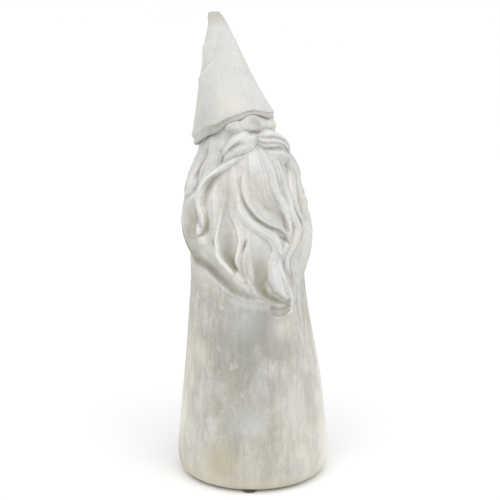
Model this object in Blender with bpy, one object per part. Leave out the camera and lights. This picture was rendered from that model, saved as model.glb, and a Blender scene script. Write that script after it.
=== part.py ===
"""Tomte garden gnome: a hollow whitewashed concrete casting on four stick-on felt pads.

Run with: blender --background --python part.py

Metres, +Z up. The gnome faces -Y, and its left hand is at +X. The origin is the middle of
the footprint on the ground. Lengths in the tables are millimetres. An angle is measured in
degrees about the figure's axis, from its front towards its left hand.

The casting is one closed skin. It starts at the roof of the hollow, runs down the inner
wall, over the rim, up the coat, the arms and the beard, round the lip of the hat's brim,
and ends at the hat's tip. The arms, the beard and the face are relief on that skin.
"""

import math

import bmesh
import bpy
import numpy as np

MM = 0.001

# Ground, pads and rim
PAD_RADIUS = 7.0
PAD_THICKNESS = 2.0
PAD_CORNER = 0.4
PAD_SIDES = 32
FILM_GAP = 0.3
RIM_Z = PAD_THICKNESS + FILM_GAP
TIP_Z = 410.0

# Each pad by hand: angle from the front, distance from the axis
PADS = {
    "foot_pad_front_right": (-33.0, 55.5),
    "foot_pad_front_left": (47.0, 53.5),
    "foot_pad_back_left": (133.0, 53.2),
    "foot_pad_back_right": (-128.0, 54.0),
}

# Plain body: height, centre x, centre y, half width, reach to the front, reach to the back
BODY = (
    (RIM_Z, 0, 0, 60, 60, 60),
    (5, 0, 0, 63.6, 63.6, 63.6),
    (9, 0, 0, 65.6, 65.6, 65.6),
    (20, 0, 0, 67, 67, 67),
    (38, 0, 0, 65.7, 65.6, 65.6),
    (57, 0, 0, 64.3, 64, 64),
    (102, -1, 0, 59, 59, 59),
    (148, -3.8, 1, 52.9, 55, 53),
    (180, -4, 3, 50, 53, 50),
    (209, -3.6, 5, 49.8, 52, 48.5),
    (235, -4, 7, 49, 50, 46.5),
    (255, -4.5, 9, 45.5, 47, 43),
    (275, -5.3, 12, 39.5, 43, 38.5),
    (295, -6.5, 14, 33.5, 38, 32.5),
    (315, -8.5, 17, 30, 31, 28.5),
    (335, -10, 19, 27, 26, 25.5),
)

# Hat above its lip: height, centre x, centre y, half width, reach to the front and back
HAT = (
    (290, -1.5, 12, 44, 44, 41),
    (302, -3, 14.3, 41, 42, 39.5),
    (312, -4.7, 16.4, 38, 39, 37.5),
    (328, -8, 20.3, 31.8, 33.3, 32),
    (345, -10.3, 24.2, 26.2, 27, 26.4),
    (365, -12.3, 28, 19.5, 19.8, 19.5),
    (385, -14.3, 32, 13.3, 13.3, 13.3),
    (400, -15.8, 34, 8.1, 8.1, 8.1),
    (406, -17.6, 34.8, 6.5, 6.5, 6.5),
    (409.2, -18.4, 35, 4.8, 4.8, 4.8),
)
HAT_TIP = (-18.0, 35.0, TIP_Z)

# Lower edge of the brim: angle, height, height of the rolled hem above it, and of the recess below it
LIP = (
    (-180, 292.5, 6, 7), (-150, 293.5, 6, 7), (-117, 297.5, 6.5, 4), (-90, 304.8, 6, 7), (-72, 311, 7, 8),
    (-59, 314, 6.5, 7), (-45, 320, 4.4, 3), (-22, 324.5, 4.6, 2), (-3, 327.8, 3.6, 2), (16, 325.4, 4.6, 2),
    (30, 322.5, 5.6, 2.5), (60, 319, 6, 5), (90, 314.2, 6, 7), (120, 305, 6, 7), (150, 296.5, 6, 7),
    (180, 292.5, 6, 7),
)
BRIM_UNDERCUT = -4.5

# Profile of the hem: share of its height, and reach beyond the hat's cone; the reach is less on the left
HEM_PROFILE = ((-0.15, -2.0), (-0.1, 0.7), (0.3, 1.1), (0.95, 2.7), (1.55, 2.2))
FLAT_HEM_ANGLE = 62.0
FLAT_HEM_SPREAD = 34.0
FLAT_HEM_SHARE = 0.75

# On the left the hem's lower edge is set back under its upper edge
HEM_RECESS = 4.5
HEM_RECESS_TOP = 0.95

# Hollow: height and radius of the inner wall
HOLLOW = (
    (RIM_Z, 47), (57, 47), (102, 44.5), (148, 40), (180, 37), (209, 35), (235, 31.5), (255, 27), (272, 19),
)
HOLLOW_ROOF_Z = 281.0
HOLLOW_CENTRE_TOP = (-8.0, 10.0)

# One degree about the axis is about this many millimetres on the relief
ARC = 0.91

# Arms and belly: stations of angle, height, half width and lift
RIGHT_SLEEVE = (
    (-104, 292, 12, 2), (-108, 272, 18, 7.4), (-107, 252, 20, 8), (-101, 234, 20, 10),
    (-84, 218, 17, 11.5), (-75, 212, 13, 8), (-64, 205, 11.5, 7.5), (-55, 198, 10.5, 7),
    (-45, 191, 9.5, 6.2), (-36, 185, 8.2, 5), (-26, 179, 6.4, 3.6), (-16, 174, 4.6, 2.2),
    (-8, 172, 3, 1),
)
LEFT_SLEEVE = (
    (98, 292, 12, 2), (100, 272, 18, 6), (99, 256, 20, 9), (90, 239, 19, 10), (77, 228, 16.5, 9.6),
    (64, 219, 13, 8.6), (54, 209, 12.5, 7.4), (45, 200, 11, 5.4), (36, 191, 9.5, 3.2),
    (27, 182, 8.5, 1.6), (17, 172, 8.5, 2), (7, 165, 8, 3), (-1, 158, 6, 2.4),
)
BEARD_BED = (
    (-5, 300, 34, 4), (-10, 275, 42, 4.5), (-12, 250, 44, 3.5), (-10, 225, 36, 2.5), (-5, 200, 22, 1),
)
RIGHT_SLEEVE_CREST = 0.3
LEFT_SLEEVE_CREST = -0.2

# Hair, the same on both sides of the head
SIDE_HAIR = (
    # lobe over the temple
    (
        (-72, 308, 8, 2.5), (-69, 300, 9.5, 4.4), (-76, 281, 7.5, 3.6), (-82, 271, 5, 1.5),
    ),
    # strand beside the cheek
    (
        (-55, 304, 4, 1.2), (-66, 288, 5, 3.6), (-85, 269, 4.8, 3.2), (-90, 262, 3.6, 1.6),
    ),
    # strand in front of the ear
    (
        (-67, 304, 5, 1.2), (-79, 288, 5.6, 3.6), (-90, 270, 5, 3.2), (-98, 255, 3.6, 0.6),
    ),
    # thick strand over the ear
    (
        (-77, 304, 6, 2.8), (-92, 285, 6, 2), (-93, 269, 6, 5.8), (-94, 261, 4.8, 5.4),
    ),
)

# Locks of the beard: crest is where the top of a lock lies across it, from -1 to 1
LOCKS = (
    # ridge on the right of the leaf-shaped hollow
    (0.3, (
        (-37, 287, 4.5, 0.5), (-49, 266, 5, 1.5), (-54, 248, 4.6, 2.8), (-59, 229, 4.2, 4.6),
        (-58, 214, 4, 5.2), (-48, 202, 3.6, 4.4), (-41, 195, 3.6, 2.4),
    )),
    # ridge on its left
    (-0.6, (
        (-37, 275, 6, 0.5), (-41, 255, 6, 1.8), (-35, 240, 5.4, 4), (-33, 224, 5, 5.2),
        (-38, 208, 4.8, 5.4), (-34, 194, 4, 3),
    )),
    # lock that turns under the middle lock
    (-0.2, (
        (-34, 262, 4, 0.8), (-28, 245, 6, 3.4), (-12, 232, 6, 4), (0, 217, 6, 4.2), (-1, 200, 4, 3),
    )),
    # end of the beard
    (-0.3, (
        (3, 220, 4.5, 3), (-3, 206, 7.4, 4.6), (-3, 191, 8.2, 5.2), (5, 177, 4.2, 4.2),
        (9, 172, 3.6, 2.6),
    )),
    # broad middle lock, ending in a point
    (-0.5, (
        (-17, 298, 10, 1), (-20, 280, 13, 3.6), (-18, 261, 13, 5.6), (-9, 245, 9.5, 6.4),
        (4, 232, 4.5, 5.4), (11, 220, 3.6, 2.5),
    )),
    # first lock on the left
    (0, (
        (0, 299, 4, 0.8), (6, 279, 4.8, 3.2), (7, 260, 5, 4.8), (13, 242, 4.6, 5.4),
        (12, 223, 4.2, 5), (3, 208, 3.6, 3.4), (1, 201, 3.6, 2),
    )),
    # second lock on the left, curved like an S
    (0.3, (
        (18, 297, 4, 0.8), (20, 277, 4.8, 3.6), (19, 258, 4.8, 5.2), (22, 240, 4.8, 6),
        (25, 224, 4.6, 5.8), (13, 212, 3.8, 4.6), (11, 196, 3.6, 3.4), (16, 188, 3.6, 2.4),
    )),
    # third lock on the left
    (0.2, (
        (57, 292, 4, 1.4), (53, 272, 5, 4.6), (30, 256, 4.6, 5.8), (39, 237, 3.6, 4.8),
        (45, 229, 3.6, 3),
    )),
    # outermost lock on the left
    (0.2, (
        (44, 302, 6, 5), (58, 283, 9, 11), (62, 262, 8, 7.8), (57, 243, 5.5, 7.5), (55, 235, 3.6, 4),
    )),
    # outermost lock on the right, with a curled tip above the elbow
    (-0.2, (
        (-27, 294, 3.6, 1.5), (-49, 286, 3.8, 4.8), (-69, 274, 4.6, 6.2), (-80, 260, 4.8, 6.8),
        (-76, 246, 5.4, 6.8), (-74, 233, 3.6, 4.6), (-75, 225, 3.6, 0.8),
    )),
)

# Hollows between the locks: the lift is how deep they are
HOLLOWS = (
    # leaf-shaped hollow
    (
        (-46, 254, 2.6, 0.6), (-47, 234, 7, 3.2), (-48, 214, 7.5, 4.8), (-41, 200, 2.6, 3),
    ),
    # deep hollow above the cuff
    (
        (-22, 231, 4, 0.8), (-19, 212, 8, 3), (-18, 193, 6.5, 5.6), (-16, 180, 3.6, 5.2),
        (-1, 171, 2.6, 3.2),
    ),
    # under the middle lock
    (
        (-29, 283, 2.6, 0.8), (-33, 269, 2.6, 2.4), (-28, 255, 2.6, 3), (-19, 243, 2.6, 3.2),
        (-6, 235, 2.6, 3), (7, 227, 2.6, 3), (10, 221, 2.6, 2.2),
    ),
    # between beard and left sleeve
    (
        (23, 249, 2.6, 0.8), (36, 234, 2.6, 3), (40, 219, 2.6, 3.4), (21, 211, 2.6, 3.2),
        (14, 200, 2.6, 3.4), (19, 185, 2.6, 1.8),
    ),
    # hollow under the outer lock
    (
        (-51, 281, 2.6, 1.2), (-68, 270, 5.2, 3.8), (-76, 257, 3.6, 2), (-75, 251, 2.6, 1.2),
    ),
)

# Moustache
MOUSTACHE = (
    # right half, upper strand
    (0.1, (
        (-2, 311, 3.4, 4), (-23, 310, 5.2, 6.8), (-42, 303, 4, 5.6), (-57, 290, 3, 3.2),
        (-59, 285, 3, 1.6),
    )),
    # right half, thick part
    (0, (
        (-2, 310, 3.5, 5.5), (-12, 309, 6, 8.6), (-19, 307, 6, 8.4), (-25, 305, 4.5, 6),
        (-31, 302, 3, 3.5),
    )),
    # right half, lower strand
    (-0.1, (
        (-4, 308, 3.6, 4.4), (-22, 302, 4.6, 5.8), (-41, 296, 3.2, 3.8), (-57, 286, 3, 1.4),
    )),
    # left half, upper strand
    (0, (
        (1, 310, 3, 4.5), (23, 310, 4.6, 9.6), (52, 299, 4.6, 11.5), (60, 284, 3, 5.5),
    )),
    # left half, middle strand
    (0, (
        (-2, 308, 3, 4.5), (15, 306, 3.8, 9.2), (42, 299, 3.8, 10.8), (61, 282, 3, 5),
    )),
    # left half, lower strand
    (0, (
        (-2, 305, 3, 4), (17, 302, 3.2, 7.8), (43, 294, 3, 8.2), (59, 285, 3, 5.2),
    )),
)

# Dark mouth of the sleeves' cuff, between the two wrists
CUFF_HOLLOW = (
    (-11, 170, 2.2, 1.2), (-5, 165, 5.2, 4.6), (0, 164, 7.2, 6.4), (6, 165, 5.8, 7.2),
)

# Face: angle, height, half width, half height and lift of each mound
FACE = (0, 318, 30, 11, 3.6)
CHEEK_RIGHT = (-32, 319, 13, 8, 5.4)
CHEEK_LEFT = (42, 316, 16, 8, 7)
NOSE = (-1, 320.5, 10.6, 8.4, 8.6)
MOUND_ROUNDNESS = 0.75

# Distance from a band, in half widths, at which it has no effect
FAR_OFF = 9.0

# Bands of hair at the back fall from under the brim to this height
BACK_HAIR_ANGLES = (-124, -138, -152, -166, 180, 166, 152, 138, 124, 114)
BACK_HAIR_END_Z = 250.0
BACK_HAIR_LEAN = 6.0

# How gentle the flank of a band is: a small value is steep
BED_FLANK = 0.9
SLEEVE_FLANK = 0.7
LOCK_FLANK = 0.7
HOLLOW_FLANK = 1.5
CUFF_FLANK = 0.6

# Grid of the skin
FRONT_HALF_SPAN = 120
FRONT_COLUMNS = 61
BACK_COLUMNS = 11
COAT_ROWS = (RIM_Z, 5, 9, 14, 20, 38, 57, 80, 102, 125, 143, 152)
RELIEF_ROWS = 42
SOFTENING_PASSES = 1
HAT_ROWS = (0.0, 0.1, 0.22, 0.35, 0.48, 0.61, 0.74, 0.86, 0.94, 1.0)
HEM_TO_HAT = 1.2
REACH_FADE = 6


def smooth_curve(knots, values, at):
    """Value of a smooth curve through the knots."""
    knots = np.asarray(knots, float)
    values = np.asarray(values, float)
    slopes = np.gradient(values, knots)
    left = np.clip(np.searchsorted(knots, at) - 1, 0, len(knots) - 2)
    span = knots[left + 1] - knots[left]
    t = np.clip((at - knots[left]) / span, 0.0, 1.0)
    rise = t * t * (3 - 2 * t)
    bow_left = t * (1 - t) ** 2 * span * slopes[left]
    bow_right = t * t * (1 - t) * span * slopes[left + 1]
    return values[left] * (1 - rise) + values[left + 1] * rise + bow_left - bow_right


def section_points(table, angle, z, lift):
    """Points of the horizontal sections in a table, pushed outwards by lift."""
    heights = [row[0] for row in table]
    centre_x, centre_y, half_width, front, back = (
        smooth_curve(heights, [row[k] for row in table], z) for k in range(1, 6)
    )
    turn = np.radians(angle)
    reach = np.where(np.cos(turn) > 0, front, back)
    x = centre_x + (half_width + lift) * np.sin(turn)
    y = centre_y - (reach + lift) * np.cos(turn)
    return np.stack([x, y, z], axis=-1)


def lip_value(angle, column):
    """Value of one column of the brim's table at an angle about the axis."""
    return smooth_curve([row[0] for row in LIP], [row[column] for row in LIP], angle)


def swelling(angle, z, stations, crest=0.0, flank=LOCK_FLANK):
    """Lift of a rounded band that runs through the stations."""
    stations = np.asarray(stations, float)
    fine = np.linspace(0, len(stations) - 1, 5 * len(stations))
    knots = np.arange(len(stations))
    run = np.stack([smooth_curve(knots, column, fine) for column in stations.T], axis=1)
    nearest = np.full(angle.shape, FAR_OFF)
    side = np.zeros(angle.shape)
    top = np.zeros(angle.shape)
    for start, end in zip(run[:-1], run[1:]):
        run_u = (end[0] - start[0]) * ARC
        run_v = end[1] - start[1]
        from_u = ((angle - start[0] + 180) % 360 - 180) * ARC
        from_v = z - start[1]
        t = np.clip((from_u * run_u + from_v * run_v) / (run_u**2 + run_v**2), 0, 1)
        off_u = from_u - t * run_u
        off_v = from_v - t * run_v
        off = np.hypot(off_u, off_v) / (start[2] + t * (end[2] - start[2]))
        closer = off < nearest
        nearest = np.where(closer, off, nearest)
        side = np.where(closer, np.sign(run_u * off_v - run_v * off_u), side)
        top = np.where(closer, start[3] + t * (end[3] - start[3]), top)
    across = nearest * side
    from_crest = np.where(across > crest, (across - crest) / (1 - crest), (crest - across) / (1 + crest))
    return top * np.clip(1 - from_crest**2, 0, None) ** flank


def mound(angle, z, angle_0, z_0, half_width, half_height, lift):
    """Lift of a round mound, such as the nose or a cheek."""
    off_u = (angle - angle_0) * ARC * MOUND_ROUNDNESS / half_width
    off_v = (z - z_0) / half_height
    return lift * np.clip(1 - off_u**2 - off_v**2, 0, None) ** MOUND_ROUNDNESS


def back_hair(angle_0):
    """Stations of a band of hair that falls from under the brim."""
    top_z = float(lip_value(angle_0, 1)) - 2
    lean = math.copysign(BACK_HAIR_LEAN, math.sin(math.radians(angle_0)))
    middle_z = (top_z + BACK_HAIR_END_Z) / 2
    return (
        (angle_0, top_z, 6.5, 1.5),
        (angle_0 + lean * 0.5, middle_z, 7.5, 2.8),
        (angle_0 + lean * 1.3, BACK_HAIR_END_Z + 8, 6, 6.5),
        (angle_0 + lean * 1.5, BACK_HAIR_END_Z, 3.6, 2.5),
    )


def mirrored(stations):
    """The same stations on the figure's other side."""
    return [(-angle, z, half_width, lift) for angle, z, half_width, lift in stations]


def ground(angle, z):
    """Lift of the sleeves and of the belly under the beard."""
    bed = swelling(angle, z, BEARD_BED, flank=BED_FLANK)
    right = swelling(angle, z, RIGHT_SLEEVE, RIGHT_SLEEVE_CREST, SLEEVE_FLANK)
    left = swelling(angle, z, LEFT_SLEEVE, LEFT_SLEEVE_CREST, SLEEVE_FLANK)
    return np.maximum(bed, np.maximum(right, left))


def relief(angle, z):
    """Outward lift of the arms, the beard, the hair and the face above the plain body."""
    lift = np.zeros(angle.shape)
    for angle_0 in BACK_HAIR_ANGLES:
        lift = np.maximum(lift, swelling(angle, z, back_hair(angle_0)))
    for stations in SIDE_HAIR:
        lift = np.maximum(lift, swelling(angle, z, stations))
        lift = np.maximum(lift, swelling(angle, z, mirrored(stations)))
    for crest, stations in LOCKS:
        lift = np.maximum(lift, swelling(angle, z, stations, crest))
    for stations in HOLLOWS:
        lift = lift - swelling(angle, z, stations, flank=HOLLOW_FLANK)
    lift = lift - swelling(angle, z, CUFF_HOLLOW, flank=CUFF_FLANK)
    for shape in (FACE, CHEEK_RIGHT, CHEEK_LEFT):
        lift = np.maximum(lift, mound(angle, z, *shape))
    for crest, stations in MOUSTACHE:
        lift = np.maximum(lift, swelling(angle, z, stations, crest))
    lift = np.maximum(lift, mound(angle, z, *NOSE))
    return ground(angle, z) + lift


def softened(lift):
    """Lift with its edges rounded over, as a worn mould leaves them."""
    for _ in range(SOFTENING_PASSES):
        around = (np.roll(lift, 1, axis=1) + np.roll(lift, -1, axis=1)) / 2
        ends = np.concatenate([lift[:1], lift, lift[-1:]])
        up_and_down = (ends[:-2] + ends[2:]) / 2
        lift = lift / 2 + around / 4 + up_and_down / 4
    return lift


def column_angles():
    """Angles of the grid's columns, close together on the front and wide apart on the back."""
    front = np.linspace(-FRONT_HALF_SPAN, FRONT_HALF_SPAN, FRONT_COLUMNS)
    back_span = 360 - 2 * FRONT_HALF_SPAN
    back = FRONT_HALF_SPAN + back_span * np.arange(1, BACK_COLUMNS + 1) / (BACK_COLUMNS + 1)
    return np.concatenate([front, (back + 180) % 360 - 180])


def hollow_rows(angles):
    """Rings of the inner wall, from the roof down to the rim."""
    turn = np.radians(angles)
    rows = []
    for z, radius in reversed(HOLLOW):
        share = z / HOLLOW_ROOF_Z
        centre_x = HOLLOW_CENTRE_TOP[0] * share**2
        centre_y = HOLLOW_CENTRE_TOP[1] * share**2
        x = centre_x + radius * np.sin(turn)
        y = centre_y - radius * np.cos(turn)
        rows.append(np.stack([x, y, np.full(len(angles), float(z))], axis=-1))
    return rows


def outer_rows(angles):
    """Rings of the outside, from the rim up to the crease under the brim."""
    rows = []
    for z in COAT_ROWS:
        height = np.full(len(angles), float(z))
        rows.append(section_points(BODY, angles, height, 0.0))
    top = lip_value(angles, 1) + 0.4
    share = np.arange(1, RELIEF_ROWS + 1)[:, None] / RELIEF_ROWS
    height = COAT_ROWS[-1] + (top - COAT_ROWS[-1]) * share
    angle = np.broadcast_to(angles, height.shape)
    skin = section_points(BODY, angle, height, softened(relief(angle, height)))
    crease = section_points(HAT, angle, height, BRIM_UNDERCUT)
    recess = lip_value(angles, 3)
    tuck = (np.clip(1 - (top - height) / recess, 0.0, 1.0) ** 2)[..., None]
    rows.extend(skin * (1 - tuck) + crease * tuck)
    return rows


def hat_rows(angles):
    """Rings from the lip of the brim up to the tip of the hat."""
    lip = lip_value(angles, 1)
    hem = lip_value(angles, 2)
    flat = np.exp(-(((angles - FLAT_HEM_ANGLE) / FLAT_HEM_SPREAD) ** 2))
    flare = 1 - FLAT_HEM_SHARE * flat
    rows = []
    for share, reach in HEM_PROFILE:
        recess = HEM_RECESS * flat * max(1 - share / HEM_RECESS_TOP, 0.0)
        rows.append(section_points(HAT, angles, lip + share * hem, reach * flare - recess))
    top = HAT[-1][0]
    last_share, last_reach = HEM_PROFILE[-1]
    start = lip + last_share * hem + HEM_TO_HAT
    for share in HAT_ROWS:
        height = start + (top - start) * share
        rows.append(section_points(HAT, angles, height, last_reach * flare * (1 - share) ** REACH_FADE))
    return rows


def material(name, colour, roughness):
    """Principled material of one of the object's real materials."""
    made = bpy.data.materials.new(name)
    made.use_nodes = True
    shader = made.node_tree.nodes["Principled BSDF"]
    shader.inputs["Base Color"].default_value = (*colour, 1.0)
    shader.inputs["Roughness"].default_value = roughness
    shader.inputs["Metallic"].default_value = 0.0
    made.diffuse_color = (*colour, 1.0)
    return made


def add_object(name, mesh_data, made):
    """Finished object with its material, from an open bmesh."""
    bmesh.ops.recalc_face_normals(mesh_data, faces=mesh_data.faces)
    mesh = bpy.data.meshes.new(name)
    mesh_data.to_mesh(mesh)
    mesh_data.free()
    for polygon in mesh.polygons:
        polygon.use_smooth = True
    mesh.materials.append(made)
    thing = bpy.data.objects.new(name, mesh)
    bpy.context.scene.collection.objects.link(thing)
    return thing


def figure_casting(made):
    """The hollow concrete figure, as one closed skin from the hollow's roof to the hat's tip."""
    angles = column_angles()
    rows = hollow_rows(angles) + outer_rows(angles) + hat_rows(angles)
    skin = bmesh.new()
    roof = skin.verts.new((HOLLOW_CENTRE_TOP[0] * MM, HOLLOW_CENTRE_TOP[1] * MM, HOLLOW_ROOF_Z * MM))
    tip = skin.verts.new([value * MM for value in HAT_TIP])
    rings = [[skin.verts.new(point * MM) for point in row] for row in rows]
    count = len(angles)
    for k in range(count):
        after = (k + 1) % count
        skin.faces.new((roof, rings[0][after], rings[0][k]))
        skin.faces.new((tip, rings[-1][k], rings[-1][after]))
        for lower, upper in zip(rings[:-1], rings[1:]):
            skin.faces.new((lower[k], lower[after], upper[after], upper[k]))
    bmesh.ops.triangulate(skin, faces=skin.faces)
    return add_object("figure_casting", skin, made)


def foot_pad(name, angle_0, distance, made):
    """Round felt pad under the rim, with its adhesive film in the gap above it."""
    turn = math.radians(angle_0)
    disc = bmesh.new()
    bmesh.ops.create_cone(
        disc,
        cap_ends=True,
        segments=PAD_SIDES,
        radius1=PAD_RADIUS * MM,
        radius2=PAD_RADIUS * MM,
        depth=PAD_THICKNESS * MM,
    )
    edges = [edge for edge in disc.edges if abs(edge.verts[0].co.z - edge.verts[1].co.z) < PAD_CORNER * MM]
    bmesh.ops.bevel(disc, geom=edges, offset=PAD_CORNER * MM, segments=1, affect="EDGES")
    pad = add_object(name, disc, made)
    pad.location = (
        distance * MM * math.sin(turn),
        -distance * MM * math.cos(turn),
        PAD_THICKNESS / 2 * MM,
    )
    return pad


def main():
    for thing in list(bpy.data.objects):
        bpy.data.objects.remove(thing, do_unlink=True)
    concrete = material("whitewashed_concrete", (0.66, 0.65, 0.61), 0.9)
    felt = material("grey_felt", (0.05, 0.05, 0.05), 0.95)
    figure_casting(concrete)
    for name, (angle_0, distance) in PADS.items():
        foot_pad(name, angle_0, distance, felt)


main()
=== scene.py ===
"""Looks of the tomte garden gnome: whitewashed casting, felt pads, floor, light and camera.

The casting is one closed skin, drawn as rings of points: from the roof of the hollow down the inner wall,
over the rim, up the coat, the arms and the beard, round the lip of the brim and up to the hat's tip.
The arms, the hair and the face are relief on it: bands that swell out of the plain body, with strands
combed along them. Tables are in millimetres. An angle is in degrees about the figure's axis, from its
front towards its left hand. Left and right are the figure's own.
"""

import math

import bmesh
import bpy
import numpy as np
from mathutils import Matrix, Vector, noise


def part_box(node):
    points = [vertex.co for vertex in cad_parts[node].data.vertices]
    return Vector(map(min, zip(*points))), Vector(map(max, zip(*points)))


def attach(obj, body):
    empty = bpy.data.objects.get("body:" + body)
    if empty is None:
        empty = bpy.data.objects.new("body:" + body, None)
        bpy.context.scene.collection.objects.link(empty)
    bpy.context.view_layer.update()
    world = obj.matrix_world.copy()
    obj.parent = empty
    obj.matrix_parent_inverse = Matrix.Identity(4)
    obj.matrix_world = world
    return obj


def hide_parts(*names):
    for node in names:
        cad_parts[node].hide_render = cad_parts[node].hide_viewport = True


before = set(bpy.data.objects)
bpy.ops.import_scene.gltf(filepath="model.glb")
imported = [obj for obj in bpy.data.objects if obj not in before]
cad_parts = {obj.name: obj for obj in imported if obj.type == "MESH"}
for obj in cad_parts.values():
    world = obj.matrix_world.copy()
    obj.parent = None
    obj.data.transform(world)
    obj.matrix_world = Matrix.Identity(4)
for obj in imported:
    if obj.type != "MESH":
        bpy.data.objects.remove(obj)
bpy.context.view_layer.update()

MM = 0.001

# ---------------------------------------------------------------- the figure's shape

RIM_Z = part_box("figure_casting")[0].z / MM
TIP_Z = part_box("figure_casting")[1].z / MM

# Plain body: height, centre x, centre y, half width, reach to the front, reach to the back
BODY = (
    (RIM_Z, 0, 0, 60, 60, 60),
    (5, 0, 0, 63.6, 63.6, 63.6),
    (9, 0, 0, 65.6, 65.6, 65.6),
    (20, 0, 0, 67, 67, 67),
    (38, 0, 0, 65.7, 65.6, 65.6),
    (57, 0, 0, 64.3, 64, 64),
    (102, -1, 0, 59, 59, 59),
    (148, -3.8, 1, 52.9, 55, 53),
    (180, -4, 3, 50, 53, 50),
    (209, -3.6, 5, 49.8, 52, 48.5),
    (235, -4, 7, 49, 50, 46.5),
    (255, -4.5, 9, 45.5, 47, 43),
    (275, -5.3, 12, 39.5, 43, 38.5),
    (295, -6.5, 14, 33.5, 38, 32.5),
    (315, -8.5, 17, 30, 31, 28.5),
    (335, -10, 19, 27, 26, 25.5),
)

# Hat above its lip: height, centre x, centre y, half width, reach to the front and back
HAT = (
    (290, -1.5, 12, 44, 44, 41),
    (302, -3, 14.3, 41, 42, 39.5),
    (312, -4.7, 16.4, 38, 39, 37.5),
    (328, -8, 20.3, 31.8, 33.3, 32),
    (345, -10.3, 24.2, 26.2, 27, 26.4),
    (365, -12.3, 28, 19.5, 19.8, 19.5),
    (385, -14.3, 32, 13.3, 13.3, 13.3),
    (400, -15.8, 34, 8.1, 8.1, 8.1),
    (406, -17.6, 34.8, 6.5, 6.5, 6.5),
    (409.2, -18.4, 35, 4.8, 4.8, 4.8),
)
HAT_TIP = (-18.0, 35.0, TIP_Z)

# Lower edge of the brim: angle, height, height of the rolled hem above it, and of the recess below it
LIP = (
    (-180, 292.5, 6, 7), (-150, 293.5, 6, 7), (-117, 297.5, 6.5, 4), (-90, 304.8, 6, 7), (-72, 311, 7, 8),
    (-59, 314, 6.5, 7), (-45, 320, 4.4, 3), (-22, 324.5, 4.6, 2), (-3, 327.8, 3.6, 2), (16, 325.4, 4.6, 2),
    (30, 322.5, 5.6, 2.5), (60, 319, 6, 5), (90, 314.2, 6, 7), (120, 305, 6, 7), (150, 296.5, 6, 7),
    (180, 292.5, 6, 7),
)
BRIM_UNDERCUT = -4.5

# Profile of the hem: share of its height, and reach beyond the hat's cone
HEM_PROFILE = (
    (-0.1, -2.6), (-0.22, -0.6), (-0.16, 0.7), (0.05, 1.3), (0.3, 1.1), (0.5, 0.9), (0.72, 1.5), (0.9, 2.5),
    (1.05, 3), (1.25, 2.8), (1.55, 2.2),
)

# Hollow: height and radius of the inner wall
HOLLOW = (
    (RIM_Z, 47), (57, 47), (102, 44.5), (148, 40), (180, 37), (209, 35), (235, 31.5), (255, 27), (272, 19),
)
HOLLOW_ROOF_Z = 281.0
HOLLOW_CENTRE_TOP = (-8.0, 10.0)

# One degree about the axis is about this many millimetres on the relief
ARC = 0.91

# Arms: stations of angle, height, half width and lift
RIGHT_SLEEVE = (
    (-104, 292, 12, 2), (-108, 272, 18, 7.4), (-107, 252, 20, 8), (-101, 234, 20, 10), (-84, 218, 17, 11.5),
    (-75, 212, 13, 8), (-64, 205, 11.5, 7.5), (-55, 198, 10.5, 7), (-45, 191, 9.5, 6.2),
    (-36, 185, 8.2, 5), (-26, 179, 6.4, 3.6), (-16, 174, 4.6, 2.2), (-8, 172, 3, 1),
)
LEFT_SLEEVE = (
    (98, 292, 12, 2), (100, 272, 18, 6), (99, 256, 20, 9), (90, 239, 19, 10), (77, 228, 16.5, 9.6),
    (64, 219, 13, 8.6), (54, 209, 12.5, 7.4), (45, 200, 11, 5.4), (36, 191, 9.5, 3.2),
    (27, 182, 8.5, 1.6), (17, 172, 8.5, 2), (7, 165, 8, 3), (-1, 158, 6, 2.4),
)
BEARD_BED = (
    (-5, 300, 34, 4), (-10, 275, 42, 4.5), (-12, 250, 44, 3.5), (-10, 225, 36, 2.5), (-5, 200, 22, 1),
)

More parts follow.
